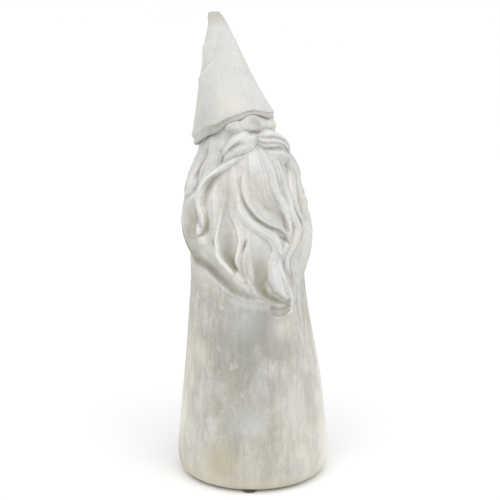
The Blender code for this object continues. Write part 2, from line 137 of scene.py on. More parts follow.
# Hair that was combed in the clay: kind of profile, where the crest lies (from -1, right of the band's
# run, to 1, left of it), strands across it, how deep they are cut, and stations of angle, height, half
# width and lift
LOCKS = (
    # beard under the moustache's left tail
    ("swell", 0, 3, 0.2, (
     (12, 298, 8, 3), (25, 296, 10, 6.5), (38, 292, 10, 8), (50, 288, 8, 7))),
    # thin ridge on the right of the beard
    ("ridge", 0, 0, 0, (
     (-52, 280, 4, 0.8), (-61, 271, 4, 1.3), (-64, 263, 3.6, 1.8), (-63, 253, 3.4, 2.2),
     (-61, 244, 3.2, 2.4), (-61, 234, 3, 2.2), (-65, 223, 3, 1.2))),
    # outer ridge of the leaf-shaped hollow
    ("ridge", 0.3, 0, 0, (
     (-37, 287, 4.5, 0.5), (-44, 276, 5, 1.1), (-49, 266, 5, 1.5), (-52, 257, 5, 2), (-54, 248, 4.6, 2.8),
     (-56, 239, 4.4, 3.8), (-59, 229, 4.2, 4.6), (-60, 221, 4, 5.2), (-58, 214, 4, 5.2), (-54, 208, 4, 5),
     (-48, 202, 3.4, 4.4), (-41, 195, 3, 2.4))),
    # inner ridge of the leaf-shaped hollow
    ("ridge", -0.6, 0, 0, (
     (-37, 275, 6, 0.5), (-40, 265, 6, 1.1), (-41, 255, 6, 1.8), (-39, 247, 5.6, 2.8), (-35, 240, 5.4, 4),
     (-33, 231, 5.2, 4.8), (-33, 224, 5, 5.2), (-35, 216, 5, 5.4), (-38, 208, 4.8, 5.4), (-38, 201, 4.6, 5),
     (-34, 194, 4, 3))),
    # lock between the two hollows
    ("lock", 0, 3, 0.18, (
     (-28, 234, 5, 0.6), (-28, 224, 6, 1.6), (-29, 216, 7, 2.4), (-31, 207, 7.5, 2.8), (-30, 198, 7.5, 2.6),
     (-27, 190, 6.5, 2), (-23, 183, 5, 1.4), (-18, 177, 3.5, 0.5))),
    # lock that turns under the middle lock
    ("lock", -0.2, 3, 0.3, (
     (-34, 262, 4, 0.8), (-33, 253, 5.5, 2.4), (-28, 245, 6, 3.4), (-20, 238, 6, 3.8), (-12, 232, 6, 4),
     (-5, 226, 6, 4.2), (0, 217, 6, 4.2), (1, 209, 5, 3.8), (-1, 200, 4, 3))),
    # end of the beard
    ("lock", -0.3, 3, 0.12, (
     (3, 220, 4.5, 3), (0, 213, 6, 4), (-3, 206, 7.4, 4.6), (-4, 198, 8.4, 5), (-3, 191, 8.2, 5.2),
     (0, 184, 6.4, 5), (5, 177, 4.2, 4.2), (9, 172, 2.2, 2.6))),
    # curled strand of the end
    ("swell", 0.2, 0, 0, (
     (2, 208, 2.4, 2), (1, 201, 2.6, 4.6), (3, 193, 2.6, 6), (7, 185, 2.6, 6.2), (10, 177, 2.6, 5.8),
     (11, 171, 2.4, 4.4), (12, 165, 2, 2.2))),
    # middle lock
    ("lock", -0.45, 6, 0.21, (
     (-17, 298, 10, 1), (-20, 289, 12, 2.2), (-20, 280, 13, 3.6), (-20, 270, 13.5, 4.8),
     (-18, 261, 13, 5.6), (-15, 253, 11.5, 6.2), (-9, 245, 9.5, 6.4), (-2, 239, 7, 6.2), (4, 232, 4.5, 5.4),
     (9, 225, 2.5, 4.2), (11, 220, 1.2, 2.5))),
    # first lock left of the middle
    ("lock", 0, 2, 0.3, (
     (0, 299, 4, 0.8), (3, 289, 4.5, 2), (6, 279, 4.8, 3.2), (5, 269, 5, 4.2), (7, 260, 5, 4.8),
     (11, 251, 5, 5.2), (13, 242, 4.6, 5.4), (14, 233, 4.4, 5.4), (12, 223, 4.2, 5), (8, 216, 4, 4.4),
     (3, 208, 3.4, 3.4), (1, 201, 2.4, 2))),
    # second lock left of the middle
    ("lock", 0.35, 2, 0.3, (
     (18, 297, 4, 0.8), (20, 287, 4.5, 2.2), (20, 277, 4.8, 3.6), (19, 267, 4.8, 4.6), (19, 258, 4.8, 5.2),
     (19, 249, 4.8, 5.6), (22, 240, 4.8, 6), (27, 231, 4.8, 6.2), (25, 224, 4.6, 5.8), (19, 218, 4.2, 5.2),
     (13, 212, 3.8, 4.6), (9, 205, 3.2, 4), (11, 196, 2.6, 3.4), (16, 188, 2, 2.4))),
    # third lock left of the middle
    ("lock", 0.2, 2, 0.3, (
     (57, 292, 4, 1.4), (54, 282, 4.8, 3.2), (53, 272, 5, 4.6), (37, 264, 5, 5.4), (30, 256, 4.6, 5.8),
     (30, 247, 4, 5.6), (39, 237, 3, 4.8), (45, 229, 2, 3))),
    # outermost lock on the left
    ("lock", 0.2, 2, 0.3, (
     (44, 302, 6, 5), (52, 293, 8, 7.4), (58, 283, 9, 11), (62, 272, 9, 11), (62, 262, 8, 7.8),
     (60, 252, 7, 8), (57, 243, 5.5, 7.5), (55, 235, 3.5, 4))),
    # lock with a curled tip, on the right
    ("lock", -0.25, 2, 0.36, (
     (-27, 294, 2.4, 1.5), (-38, 291, 3.2, 3.4), (-49, 286, 3.8, 4.8), (-60, 280, 4.2, 5.6),
     (-69, 274, 4.6, 6.2), (-77, 267, 4.8, 6.6), (-80, 260, 4.8, 6.8), (-80, 253, 5, 6.8),
     (-76, 246, 5.4, 6.8), (-74, 239, 5, 6), (-74, 233, 3.6, 4.6), (-74, 229, 2.4, 2.6),
     (-75, 225, 1.4, 0.8))),
)
# The same on both sides of the head
SIDE_HAIR = (
    # hair over the temple
    ("swell", 0, 3, 0.2, (
     (-72, 308, 9, 3), (-69, 300, 11, 5.2), (-70, 291, 10.5, 5.4), (-76, 281, 8.5, 4.2),
     (-82, 271, 5, 1.5))),
    # front lock
    ("swell", 0.2, 2, 0.15, (
     (-55, 304, 4, 1.2), (-61, 297, 4.6, 2.6), (-66, 288, 5, 3.6), (-74, 278, 5, 3.8), (-85, 269, 4.8, 3.2),
     (-90, 262, 3.5, 1.6))),
    # middle lock
    ("swell", 0.2, 2, 0.15, (
     (-67, 304, 5, 1.2), (-74, 297, 5.4, 2.6), (-79, 288, 5.6, 3.6), (-86, 279, 5.6, 3.8),
     (-90, 270, 5, 3.2), (-95, 262, 4, 1.8), (-98, 255, 3, 0.6))),
    # rear lock
    ("lock", 0.2, 2, 0.2, (
     (-77, 304, 6, 2.8), (-90, 294, 5.8, 2), (-92, 285, 6, 2), (-93, 277, 6, 3.2), (-93, 269, 6, 5.8),
     (-94, 261, 4.8, 5.4))),
)

# Runs of angle, height, half width, and depth, lift or strength
FACE_CREASES = (
    # hollow in the moustache's right half
    ((-26, 307, 1.8, 0.3), (-32, 304, 2.6, 0.9), (-39, 300, 2.6, 1.1), (-47, 296, 2, 0.9)),
    # between the moustache halves
    ((-1, 314, 1.8, 0.6), (-4, 310, 1.8, 1.3), (-7, 305, 1.8, 1.3), (-9, 301, 1.4, 0.6)),
    # below the right cheek
    ((-23, 315, 2, 0.8), (-33, 314, 3, 1.4), (-43, 311, 3, 1.6), (-50, 307, 2.2, 1.2)),
    # right of the nose
    ((-18, 326, 1.6, 0.8), (-21, 321, 2, 1.6), (-19, 316, 2, 1.6), (-13, 313, 1.6, 1)),
    # left of the nose
    ((15, 325, 1.6, 0.8), (14, 320, 2, 1.6), (9, 316, 1.8, 1.4)),
    # below the left cheek
    ((9, 317, 1.2, 0.8), (17, 315, 1.5, 1.4), (32, 313, 1.2, 1.2)),
)
SLEEVE_RIDGES = (
    # top of the right sleeve
    ((-76, 229, 3, 0.8), (-70, 223, 5, 1.6), (-66, 218, 6, 2), (-60, 213, 6, 2.2), (-54, 206, 6, 2.2),
     (-48, 199, 6, 2.2), (-41, 193, 6, 2), (-35, 188, 5.5, 2), (-28, 182, 5, 1.8), (-21, 176, 4, 1)),
    # hem of the right sleeve
    ((-102, 196, 2.4, 0.6), (-84, 195, 2.6, 1), (-71, 191, 2.8, 1.4), (-61, 186, 3, 1.6),
     (-51, 180, 3, 1.8), (-41, 176, 3.2, 1.8), (-32, 173, 3.4, 1.8), (-23, 172, 3.4, 1.6),
     (-15, 171, 3, 1.2)),
    # left rim of the cuff
    ((13, 168, 2.2, 1), (11, 163, 2.6, 2.2), (7, 159, 2.6, 2.2), (-1, 157, 2.2, 1.2), (-6, 157, 1.8, 0.4)),
)
CUFF_HOLLOW = (
    # mouth of the cuff
    ((-11, 170, 2.2, 1.2), (-5, 165, 5.2, 4.6), (0, 164, 7.2, 6.4), (6, 165, 5.8, 7.2)),
)
CUFF_FOLDS = (
    # upper fold
    ((-8, 167, 1.6, 1.2), (0, 166, 2, 3.4), (11, 166, 1.6, 3)),
    # lower fold
    ((-5, 161, 1.6, 1.4), (3, 160, 2.1, 3.4), (13, 161, 1.6, 2.6)),
)
HAT_FOLDS = (
    ((-114, 377, 5, 1), (-76, 381, 5, 1.1), (-52, 383, 5, 0.8), (-25, 386, 4, 0.2)),
    ((-106, 351, 6, 1.4), (-86, 356, 6, 1.5), (-70, 362, 6, 1.3), (-53, 367, 5, 0.9), (-40, 373, 4, 0.2)),
)
# Olive dirt with painted shade, laid along runs: in hollows and creases, under and on the nose, and on faces
# of the arm that turn down
DIRT_AND_SHADE_RUNS = (
    # hollow under the lock with a curled tip
    ((-57, 278, 2.5, 0.4), (-65, 273, 4, 0.75), (-71, 267, 5, 0.8), (-74, 261, 4.5, 0.45),
     (-75, 253, 3, 0.2)),
    # leaf-shaped hollow
    ((-47, 248, 4, 0.15), (-47, 235, 6, 0.4), (-48, 223, 8, 0.6), (-48, 212, 7, 0.85),
     (-44, 205, 4.5, 0.95), (-40, 199, 2.5, 0.9)),
    # hollow above the cuff
    ((-20, 220, 7, 0.12), (-19, 210, 8, 0.4), (-18, 199, 7.5, 0.8), (-18, 190, 6.5, 1), (-17, 182, 5, 1),
     (-10, 175, 3, 1), (-1, 171, 2.5, 1)),
    # beside the curled tip
    ((-74, 245, 2, 0.4), (-70, 238, 2.6, 0.7), (-71, 231, 2.6, 0.75), (-72, 227, 2.2, 0.8),
     (-76, 225, 1.5, 0.5)),
    # under the middle lock
    ((-32, 277, 2, 0.35), (-32, 265, 2.4, 0.45), (-28, 256, 2.6, 0.65), (-23, 249, 2.4, 0.9),
     (-17, 243, 2.4, 0.85), (-10, 238, 2.2, 0.7), (-2, 234, 2.2, 0.6), (6, 227, 2.4, 0.6),
     (11, 221, 1.8, 0.7)),
    # belly of the middle lock
    ((-17, 278, 7, 0.12), (-15, 267, 8, 0.28), (-10, 257, 7, 0.4), (-5, 249, 5, 0.35), (1, 242, 3, 0.2)),
    # fold in the middle lock
    ((-13, 256, 2.5, 0.3), (-9, 253, 4, 0.5), (-3, 250, 4, 0.5), (2, 246, 3, 0.3)),
    # left edge of the middle lock
    ((-4, 261, 1.4, 0.35), (2, 252, 1.8, 0.4), (9, 241, 1.8, 0.4), (12, 231, 1.8, 0.5)),
    # beside the moustache's right tail
    ((-55, 297, 1.8, 0.5), (-54, 292, 2.4, 0.8), (-56, 288, 2.2, 0.7)),
    # groove in the moustache's left half
    ((-3, 306, 1.6, 0.4), (2, 303, 1.8, 0.55), (14, 301, 1.8, 0.5), (37, 298, 1.6, 0.3),
     (54, 291, 1.4, 0.2)),
    # upper groove there
    ((4, 309, 1.2, 0.2), (18, 307, 1.4, 0.2), (47, 303, 1.4, 0.2)),
    # crease in the side hair
    ((-81, 294, 1.6, 0.3), (-86, 286, 2, 0.6), (-89, 278, 1.8, 0.5), (-89, 272, 1.4, 0.25)),
    # edge of the left sleeve
    ((29, 241, 1.6, 0.3), (40, 232, 2, 0.45), (46, 223, 2.4, 0.5), (37, 216, 2.2, 0.45), (24, 211, 2, 0.45),
     (16, 205, 1.8, 0.5), (14, 199, 2.2, 0.7), (18, 190, 1.8, 0.5), (20, 184, 1.4, 0.3)),
    # below the right cheek
    ((-26, 314, 3, 0.2), (-37, 312, 4, 0.3), (-47, 309, 3, 0.3)),
    # small crease between the hollows
    ((-29, 226, 1.2, 0.4), (-32, 220, 1.6, 0.75), (-35, 215, 1.2, 0.4)),
    # beside the outermost lock on the left
    ((85, 260, 1.2, 0.3), (72, 252, 1.6, 0.55), (54, 246, 1.4, 0.4)),
    # right upper arm
    ((-96, 262, 8, 0.1), (-92, 251, 9, 0.4), (-86, 241, 10, 0.66), (-81, 229, 11, 0.7),
     (-79, 217, 10, 0.66)),
    # hair above the right shoulder
    ((-98, 270, 7, 0.15), (-95, 261, 6, 0.3)),
    # upper face of the forearm
    ((-70, 221, 6, 0.3), (-61, 211, 6, 0.5), (-53, 203, 5.5, 0.5), (-46, 196, 5, 0.4)),
    # elbow
    ((-104, 230, 9, 0.4), (-95, 220, 10, 0.9), (-85, 211, 10, 0.9), (-74, 206, 7, 0.5)),
    # face of the forearm, where it turns down: painted shade
    ((-122, 216, 7, 0), (-110, 211, 8, 0.4), (-99, 206, 8.5, 0.75), (-90, 203, 8.5, 0.95),
     (-74, 202, 8.5, 1), (-63, 198, 8.5, 1), (-55, 191, 7.4, 0.95), (-48, 185, 6.6, 0.9),
     (-41, 180, 5.6, 0.75), (-34, 177, 4, 0.5), (-27, 175, 3, 0.15)),
    # cuff
    ((-8, 167, 3, 0.35), (0, 164, 6.5, 0.5), (7, 165, 5, 0.5)),
    # above the cuff
    ((-8, 174, 2.2, 0.8), (0, 170, 2.2, 1), (6, 168, 2, 1), (11, 165, 1.4, 0.9)),
    # painted shade under the nose
    ((-15, 316, 1.8, 0.6), (-11, 314, 2.2, 1), (-3, 314, 2.2, 1), (4, 314, 1.8, 0.6)),
    # between the cuff folds
    ((-8, 165, 1.8, 0.9), (0, 164, 2, 1), (9, 166, 2.2, 1)),
    # under the cuff folds
    ((-7, 160, 1.8, 0.8), (-2, 159, 2.2, 1), (5, 159, 2.2, 1), (9, 163, 2, 1)),
    # nose: painted shadow of the brim, strongest in its upper half
    ((-6, 323, 5, 0.4), (1, 322, 5.5, 0.42), (0, 318, 4.5, 0.25)),
    # hollow in the moustache's right half
    ((-27, 306, 2.6, 0.25), (-34, 303, 3.4, 0.5), (-43, 299, 3, 0.4)),
    # beard beside the leaf-shaped hollow
    ((-50, 277, 9, 0.2), (-48, 265, 11, 0.38), (-46, 250, 10, 0.42), (-44, 240, 8, 0.3)),
)
HAIR_HEM = (
    (-85, 262, 3, 1.5), (-88, 258, 4.5, 2.2), (-92, 253, 5, 2.2), (-96, 248, 5, 1.6),
)
SMEARS = (
    # ridge beside the hollow
    ((-41, 254, 4, 0.3), (-34, 249, 6, 0.55), (-26, 242, 6, 0.65), (-19, 236, 5, 0.8), (-10, 230, 5, 0.6),
     (-3, 224, 5, 0.7), (2, 215, 4, 0.7)),
    # below the wrist
    ((-46, 172, 4, 0.3), (-36, 170, 5, 0.6), (-26, 169, 6, 0.65), (-15, 167, 5, 0.5)),
    # top of the middle lock
    ((-15, 298, 9, 0.7), (-14, 290, 10, 0.75), (-13, 282, 9, 0.4)),
    # first lock left of the middle
    ((3, 291, 5, 0.5), (7, 279, 5, 0.6), (9, 265, 5, 0.75), (12, 254, 5, 0.85), (15, 244, 4, 0.6)),
    # second lock left of the middle
    ((25, 280, 4, 0.4), (23, 263, 4.5, 0.6), (21, 249, 4.5, 0.7), (26, 236, 4.5, 0.6), (27, 226, 4, 0.4)),
    # lock with a curled tip
    ((-36, 291, 3, 0.5), (-54, 284, 4, 0.7), (-70, 276, 4, 0.8), (-82, 266, 4.5, 0.8), (-85, 256, 4.5, 0.8),
     (-81, 246, 4.5, 0.7), (-76, 237, 4, 0.7)),
    # right cheek
    ((-32, 321, 8, 0.2), (-24, 322, 6, 0.25)),
    # right half of the moustache
    ((-6, 311, 3, 0.3), (-16, 311, 4, 0.4), (-28, 309, 3.5, 0.4), (-39, 304, 3, 0.4), (-49, 298, 2.6, 0.4)),
    # edge of the side hair
    ((-86, 260, 3, 0.7), (-90, 255, 3.5, 0.7), (-94, 249, 3.5, 0.6)),
    # hem of the right sleeve
    ((-96, 197, 1.8, 0.3), (-77, 195, 2, 0.4), (-61, 187, 2.2, 0.5), (-46, 179, 2.4, 0.6),
     (-31, 173, 2.6, 0.6), (-19, 172, 2.6, 0.5)),
    # curled strand of the end
    ((2, 201, 3, 0.6), (5, 192, 3, 0.8), (12, 182, 2.8, 0.9), (13, 174, 2.6, 0.9), (12, 165, 2.4, 0.8),
     (8, 161, 2, 0.5)),
    # cuff folds
    ((-10, 169, 1.6, 0.4), (-2, 167, 1.6, 0.5), (4, 168, 1.4, 0.4)),
    # top of the forearm
    ((-65, 218, 3, 0.1), (-59, 211, 3, 0.15), (-53, 205, 3, 0.25), (-46, 199, 3, 0.3), (-39, 192, 3, 0.3),
     (-31, 183, 3, 0.25)),
    # end of the beard
    ((-1, 214, 6.5, 0.7), (-3, 205, 8, 0.95), (-3, 197, 8.5, 1), (-2, 188, 8, 1), (3, 180, 6, 1),
     (7, 174, 3, 0.8)),
)
MOUSTACHE = (
    # right half, upper strand
    ("lock", 0.1, 2, 0.36, (
     (-2, 311, 3.4, 4), (-12, 312, 4.6, 6.2), (-23, 310, 5.2, 6.8), (-33, 307, 4.8, 6.4),
     (-42, 303, 4, 5.6), (-51, 297, 3.2, 4.6), (-57, 290, 2.2, 3.2), (-59, 285, 1.4, 1.6))),
    # right half, lower strand
    ("lock", -0.1, 2, 0.36, (
     (-4, 308, 3.6, 4.4), (-13, 305, 4.8, 6.4), (-22, 302, 4.6, 5.8), (-32, 300, 5, 5.6),
     (-41, 297, 4.2, 4.7), (-51, 291, 2.4, 2.8), (-57, 286, 1.4, 1.4))),
    # right half, lobe
    ("swell", 0, 0, 0, (
     (-2, 310, 3.5, 5.5), (-12, 309, 6, 8.6), (-19, 307, 6, 8.4), (-25, 305, 4.5, 6), (-31, 302, 3, 3.5))),
    # left half, upper strand
    ("lock", 0, 2, 0.14, (
     (1, 310, 3, 4.5), (10, 311, 4.2, 7.8), (23, 310, 4.6, 9.6), (37, 306, 4.8, 11), (52, 299, 4.6, 11.5),
     (59, 291, 3.4, 9.5), (60, 284, 2, 5.5))),
    # left half, middle strand
    ("lock", 0, 2, 0.14, (
     (-2, 308, 3, 4.5), (4, 307, 3.6, 7.4), (15, 306, 3.8, 9.2), (27, 304, 4, 10.5), (42, 299, 3.8, 10.8),
     (54, 291, 2.8, 8.5), (61, 282, 1.8, 5))),
    # left half, lower strand
    ("lock", 0, 2, 0.14, (
     (-2, 305, 2.6, 4), (5, 303, 3, 6.2), (17, 302, 3.2, 7.8), (31, 300, 3.2, 8.8), (43, 294, 2.8, 8.2),
     (59, 285, 1.8, 5.2))),
)

# Creases cut with a tool: stations of angle, height, half width and depth
CREASES = (
    # beside the moustache's right tail
    ((-58, 298, 1.6, 1), (-56, 293, 2.6, 2.4), (-58, 288, 2.6, 2.6), (-60, 283, 1.4, 1)),
    # rear crease of the side hair
    ((-79, 296, 1.2, 0.8), (-84, 289, 1.8, 2), (-88, 281, 1.8, 2.2), (-88, 273, 1.4, 1.2)),
    # front crease of the side hair
    ((-70, 294, 1, 0.6), (-75, 286, 1.4, 1.4), (-81, 278, 1.2, 1)),
    # hollow under the lock with a curled tip
    ((-51, 281, 2.4, 1.2), (-61, 275, 4, 2.6), (-68, 270, 5.2, 3.8), (-74, 264, 5.2, 3.4),
     (-76, 257, 3.6, 2), (-75, 251, 2.2, 1.2)),
    # inner side of the curled tip
    ((-76, 251, 1.6, 1.4), (-71, 245, 2, 2.6), (-70, 239, 2.4, 3.2), (-71, 232, 2.4, 3.2),
     (-71, 228, 2.2, 2.6), (-74, 226, 1.6, 1.6)),
    # leaf-shaped hollow
    ((-46, 254, 2.5, 0.6), (-47, 244, 4.5, 2), (-47, 234, 7, 3.2), (-48, 224, 8.5, 4.2),
     (-48, 214, 7.5, 4.8), (-45, 206, 4.5, 4.4), (-41, 200, 2.2, 3)),
    # small crease between the hollows
    ((-29, 226, 1, 0.8), (-32, 221, 1.5, 2), (-35, 215, 1.1, 1.2)),
    # deep hollow above the cuff
    ((-22, 231, 4, 0.8), (-21, 221, 7, 1.8), (-19, 212, 8, 3), (-18, 202, 7.5, 4.2), (-18, 193, 6.5, 5.6),
     (-19, 186, 5.5, 6.4), (-16, 180, 3.6, 5.2), (-9, 175, 2.4, 4), (-1, 171, 2, 3.2)),
    # under the middle lock
    ((-29, 283, 1.4, 0.8), (-32, 276, 1.8, 1.8), (-33, 269, 2, 2.4), (-31, 262, 2.2, 2.8),
     (-28, 255, 2.2, 3), (-24, 249, 2.2, 3.2), (-19, 243, 2.2, 3.2), (-12, 238, 2.2, 3), (-6, 235, 2, 3),
     (1, 232, 2, 3), (7, 227, 2, 3), (10, 221, 1.6, 2.2)),
    # left edge of the middle lock
    ((-5, 270, 1, 0.6), (-4, 262, 1.4, 1.6), (0, 254, 1.8, 2.2), (5, 247, 1.8, 2.2), (9, 240, 1.8, 2.4),
     (11, 232, 1.8, 2.4), (12, 224, 1.4, 2)),
    # fold inside the middle lock
    ((-14, 256, 1, 0.6), (-11, 253, 1.8, 1.6), (-6, 250, 1.8, 1.6), (-1, 245, 1.4, 1), (3, 240, 1, 0.6)),
    # between the first two locks left of the middle
    ((14, 274, 0.9, 0.5), (15, 266, 1.3, 1.4), (15, 258, 1.3, 1.4), (17, 249, 1.2, 1)),
    # inner side of the outermost lock on the left
    ((86, 266, 1, 0.6), (84, 259, 1.5, 1.6), (64, 253, 1.6, 2), (49, 246, 1.2, 1)),
    # between beard and left sleeve
    ((23, 249, 1.2, 0.8), (27, 242, 1.8, 2.2), (36, 234, 2.2, 3), (44, 225, 2.4, 3.4), (40, 219, 2.4, 3.4),
     (30, 215, 2.2, 3.2), (21, 211, 2.2, 3.2), (16, 206, 2, 2.4), (14, 200, 2.2, 2.6), (16, 193, 2, 2.4),
     (19, 185, 1.5, 1.4)),
    # under the moustache's right half
    ((-10, 301, 1.6, 1), (-22, 299, 1.8, 1.8), (-33, 296, 1.8, 2), (-44, 292, 1.6, 1.6)),
    # under the moustache's left half
    ((-5, 304, 1.6, 1.2), (2, 301, 2, 2.2), (18, 298, 2, 2.4), (48, 295, 1.6, 1.2), (59, 289, 1.2, 0.7)),
    # scoop beside the end of the beard
    ((6, 204, 1.6, 0.6), (9, 196, 2.4, 1.6), (14, 189, 2.6, 2), (18, 181, 2.2, 1.2)),
)
FACE = (0, 318, 30, 11, 3.6, 0.6)
CHEEK_RIGHT = (-32, 319, 13, 8, 5.4)
CHEEK_LEFT = (42, 316, 16, 8, 7.0)
NOSE = (-1, 320.5, 10.6, 8.4, 8.6, 0.62, 1.0)
MOUND_ROUNDNESS = 0.75

# Hair that falls behind: where each band starts, where it ends, and how it spreads
BACK_HAIR_ANGLES = (-124, -138, -152, -166, 180, 166, 152, 138, 124, 114)
BACK_HAIR_END_Z = 250
BACK_HAIR_UNEVENNESS = 7
BACK_HAIR_SWEEP = 6
BEHIND_THE_EARS = 118

# Hem of the hat: it lies back where it is flat, over the left cheek
FLAT_HEM_ANGLE = 62
FLAT_HEM_SPAN = 34
HEM_RECESS = 4.5
HEM_RECESS_TOP = 0.95
HEM_TO_HAT = 1.2

# Grid of the skin
FRONT_HALF_SPAN = 120
FRONT_COLUMNS = 241
BACK_COLUMNS = 44
HOLLOW_STEP = 9.0
RIM_HEIGHTS = (RIM_Z, RIM_Z + 0.4, 3.6, 5, 7, 9, 12, 15)
COAT_START = 18
COAT_STEP = 3.4
COAT_TOP = 152.0
RELIEF_ROWS = 178
HAT_ROWS_COUNT = 56

# Waves that fingers leave in clay: length, height, shift
HAND_SEED = 7
HAND_WAVES = ((38.0, 0.55, (0, 0, 0)), (7.0, 0.14, (5, 9, 2)))
HAND_FADE = 12

# Shape of a band across its width: how round its crest is, and how steep its flanks are
PROFILES = {
    "lock": (2.0, 0.7), "ridge": (1.3, 1.5), "sleeve": (1.7, 0.7), "swell": (2.0, 1.5), "bed": (1.7, 0.9),
}
FAR_OFF = 9.0


def smooth_curve(knots, values, at):
    """Value of a smooth curve through the knots."""
    knots = np.asarray(knots, float)
    values = np.asarray(values, float)
    slopes = np.gradient(values, knots)
    left = np.clip(np.searchsorted(knots, at) - 1, 0, len(knots) - 2)
    span = knots[left + 1] - knots[left]
    t = np.clip((at - knots[left]) / span, 0.0, 1.0)
    rise = t * t * (3 - 2 * t)
    bow_left = t * (1 - t) ** 2 * span * slopes[left]
    bow_right = t * t * (1 - t) * span * slopes[left + 1]
    return values[left] * (1 - rise) + values[left + 1] * rise + bow_left - bow_right


def section_points(table, angle, z, lift):
    """Points of the horizontal sections in a table, pushed outwards by lift."""
    heights, *columns = zip(*table)
    centre_x, centre_y, half_width, front, back = (smooth_curve(heights, values, z) for values in columns)
    turn = np.radians(angle)
    reach = np.where(np.cos(turn) > 0, front, back)
    x = centre_x + (half_width + lift) * np.sin(turn)
    y = centre_y - (reach + lift) * np.cos(turn)
    return np.stack([x, y, z], axis=-1)


def lip_value(angle, column=1):
    """Height of the brim's lower edge at an angle about the axis, or another column of its table."""
    return smooth_curve([row[0] for row in LIP], [row[column] for row in LIP], angle)


def fade(value, middle, width):
    """1 well below the middle, 0 well above it."""
    return 1 / (1 + np.exp((value - middle) / width))


def bell(value, middle, width):
    """1 at the middle, 0 far from it."""
    return np.exp(-(((value - middle) / width) ** 2))


def band(angle, z, stations):
    """Distance across a band in half widths (left of its run is positive), and its lift there."""
    stations = np.asarray(stations, float)
    fine = np.linspace(0, len(stations) - 1, 6 * len(stations))
    knots = np.arange(len(stations))
    run = np.stack([smooth_curve(knots, column, fine) for column in stations.T], axis=1)
    nearest = np.full(angle.shape, FAR_OFF)
    side = np.ones(angle.shape)
    top = np.zeros(angle.shape)
    for start, end in zip(run[:-1], run[1:]):
        run_u = (end[0] - start[0]) * ARC
        run_v = end[1] - start[1]
        from_u = ((angle - start[0] + 180) % 360 - 180) * ARC
        from_v = z - start[1]
        t = np.clip((from_u * run_u + from_v * run_v) / (run_u**2 + run_v**2), 0, 1)
        off_u = from_u - t * run_u
        off_v = from_v - t * run_v
        off = np.hypot(off_u, off_v) / (start[2] + t * (end[2] - start[2]))
        closer = off < nearest
        nearest = np.where(closer, off, nearest)
        side = np.where(closer, np.sign(run_u * off_v - run_v * off_u), side)
        top = np.where(closer, start[3] + t * (end[3] - start[3]), top)
    return nearest * side, top


def near(angle, z, stations):
    """Which points lie near enough to a band to be touched by it."""
    angles, heights, half_widths, _ = np.asarray(stations, float).T
    reach = half_widths.max() + 2
    middle = (angles.min() + angles.max()) / 2
    half = (angles.max() - angles.min()) / 2 + reach / ARC
    off = np.abs((angle - middle + 180) % 360 - 180)
    return (z > heights.min() - reach) & (z < heights.max() + reach) & (off < half)


def joined(old, new, blend):
    """The higher of two surfaces, with the valley between them rounded."""
    close = np.clip(1 - np.abs(old - new) / blend, 0, 1)
    return np.maximum(old, new) + close**2 * blend / 4 * np.clip(np.minimum(old, new) / blend, 0, 1)


class Relief:
    """Lift of the skin above the plain body, and what is painted on it."""

    def __init__(self, angle, z):
        self.angle = angle
        self.z = z
        self.lift = np.zeros(angle.shape)
        self.under = np.zeros(angle.shape)
        self.hair = np.zeros(angle.shape)
        self.strand = angle * ARC
        self.dirt_and_shade = np.zeros(angle.shape)
        self.smear = np.zeros(angle.shape)
        self.laid = 0

    def raise_band(self, stations, kind="lock", crest=0.0, strands=0, groove=0.0, blend=0.8):
        """Lays a band over what is there, with strands combed along it."""
        where = near(self.angle, self.z, stations)
        across, top = band(self.angle[where], self.z[where], stations)
        from_crest = np.where(across > crest, (across - crest) / (1 - crest), (crest - across) / (1 + crest))
        bend, flank = PROFILES[kind]
        swelling = top * np.clip(1 - from_crest**bend, 0, None) ** flank
        if strands:
            place = (across + 1) / 2 * strands + 0.5 * (strands % 2)
            valley = (1 - np.abs(np.sin(np.pi * place))) ** 2
            swelling = swelling - groove * valley * np.clip(swelling / 2, 0, 1)
        old = self.lift[where]
        over = swelling > old
        self.lift[where] = joined(old, swelling, blend)
        if strands:
            self.laid += 1
            combed = (0.45 if kind == "swell" else 1.0) * np.clip(swelling / 3, 0.2, 1.0)
            self.hair[where] = np.where(over, combed, self.hair[where])
            width = np.asarray(stations, float)[:, 2].mean()
            coordinate = across * width + 7.3 * self.laid
            self.strand[where] = np.where(over, coordinate, self.strand[where])

    def raise_mound(self, angle_0, z_0, half_width, half_height, lift, flank=1.0, blend=3.5):
        """Lays a round mound, such as the nose or a cheek."""
        across = (self.angle - angle_0) * ARC * MOUND_ROUNDNESS / half_width
        off = np.hypot(across, (self.z - z_0) / half_height)
        swelling = lift * np.clip(1 - off**2, 0, None) ** flank
        over = swelling > self.lift
        self.lift = joined(self.lift, swelling, blend)
        self.hair = np.where(over, 0.0, self.hair)

    def raise_fold(self, stations):
        """Lays a fold that follows what is under it."""
        across, top = band(self.angle, self.z, stations)
        self.lift += top * np.clip(1 - across**2, 0, None)

    def cut(self, stations, flank=1.5):
        """Cuts a groove with a rounded bottom."""
        where = near(self.angle, self.z, stations)
        across, depth = band(self.angle[where], self.z[where], stations)
        self.lift[where] -= depth * np.clip(1 - across**2, 0, None) ** flank

    def rub(self, values, stations):
        """Lays a value along a run, most of it in the middle; it carries dirt with painted shade, and smears
        of whitewash.
        """
        where = near(self.angle, self.z, stations)
        across, strength = band(self.angle[where], self.z[where], stations)
        values[where] = np.maximum(values[where], strength * np.clip(1 - across**2, 0, None))

    def settle(self):
        """Makes what was laid so far the ground for what is laid next."""
        self.under = self.under + self.lift
        self.lift = np.zeros(self.lift.shape)


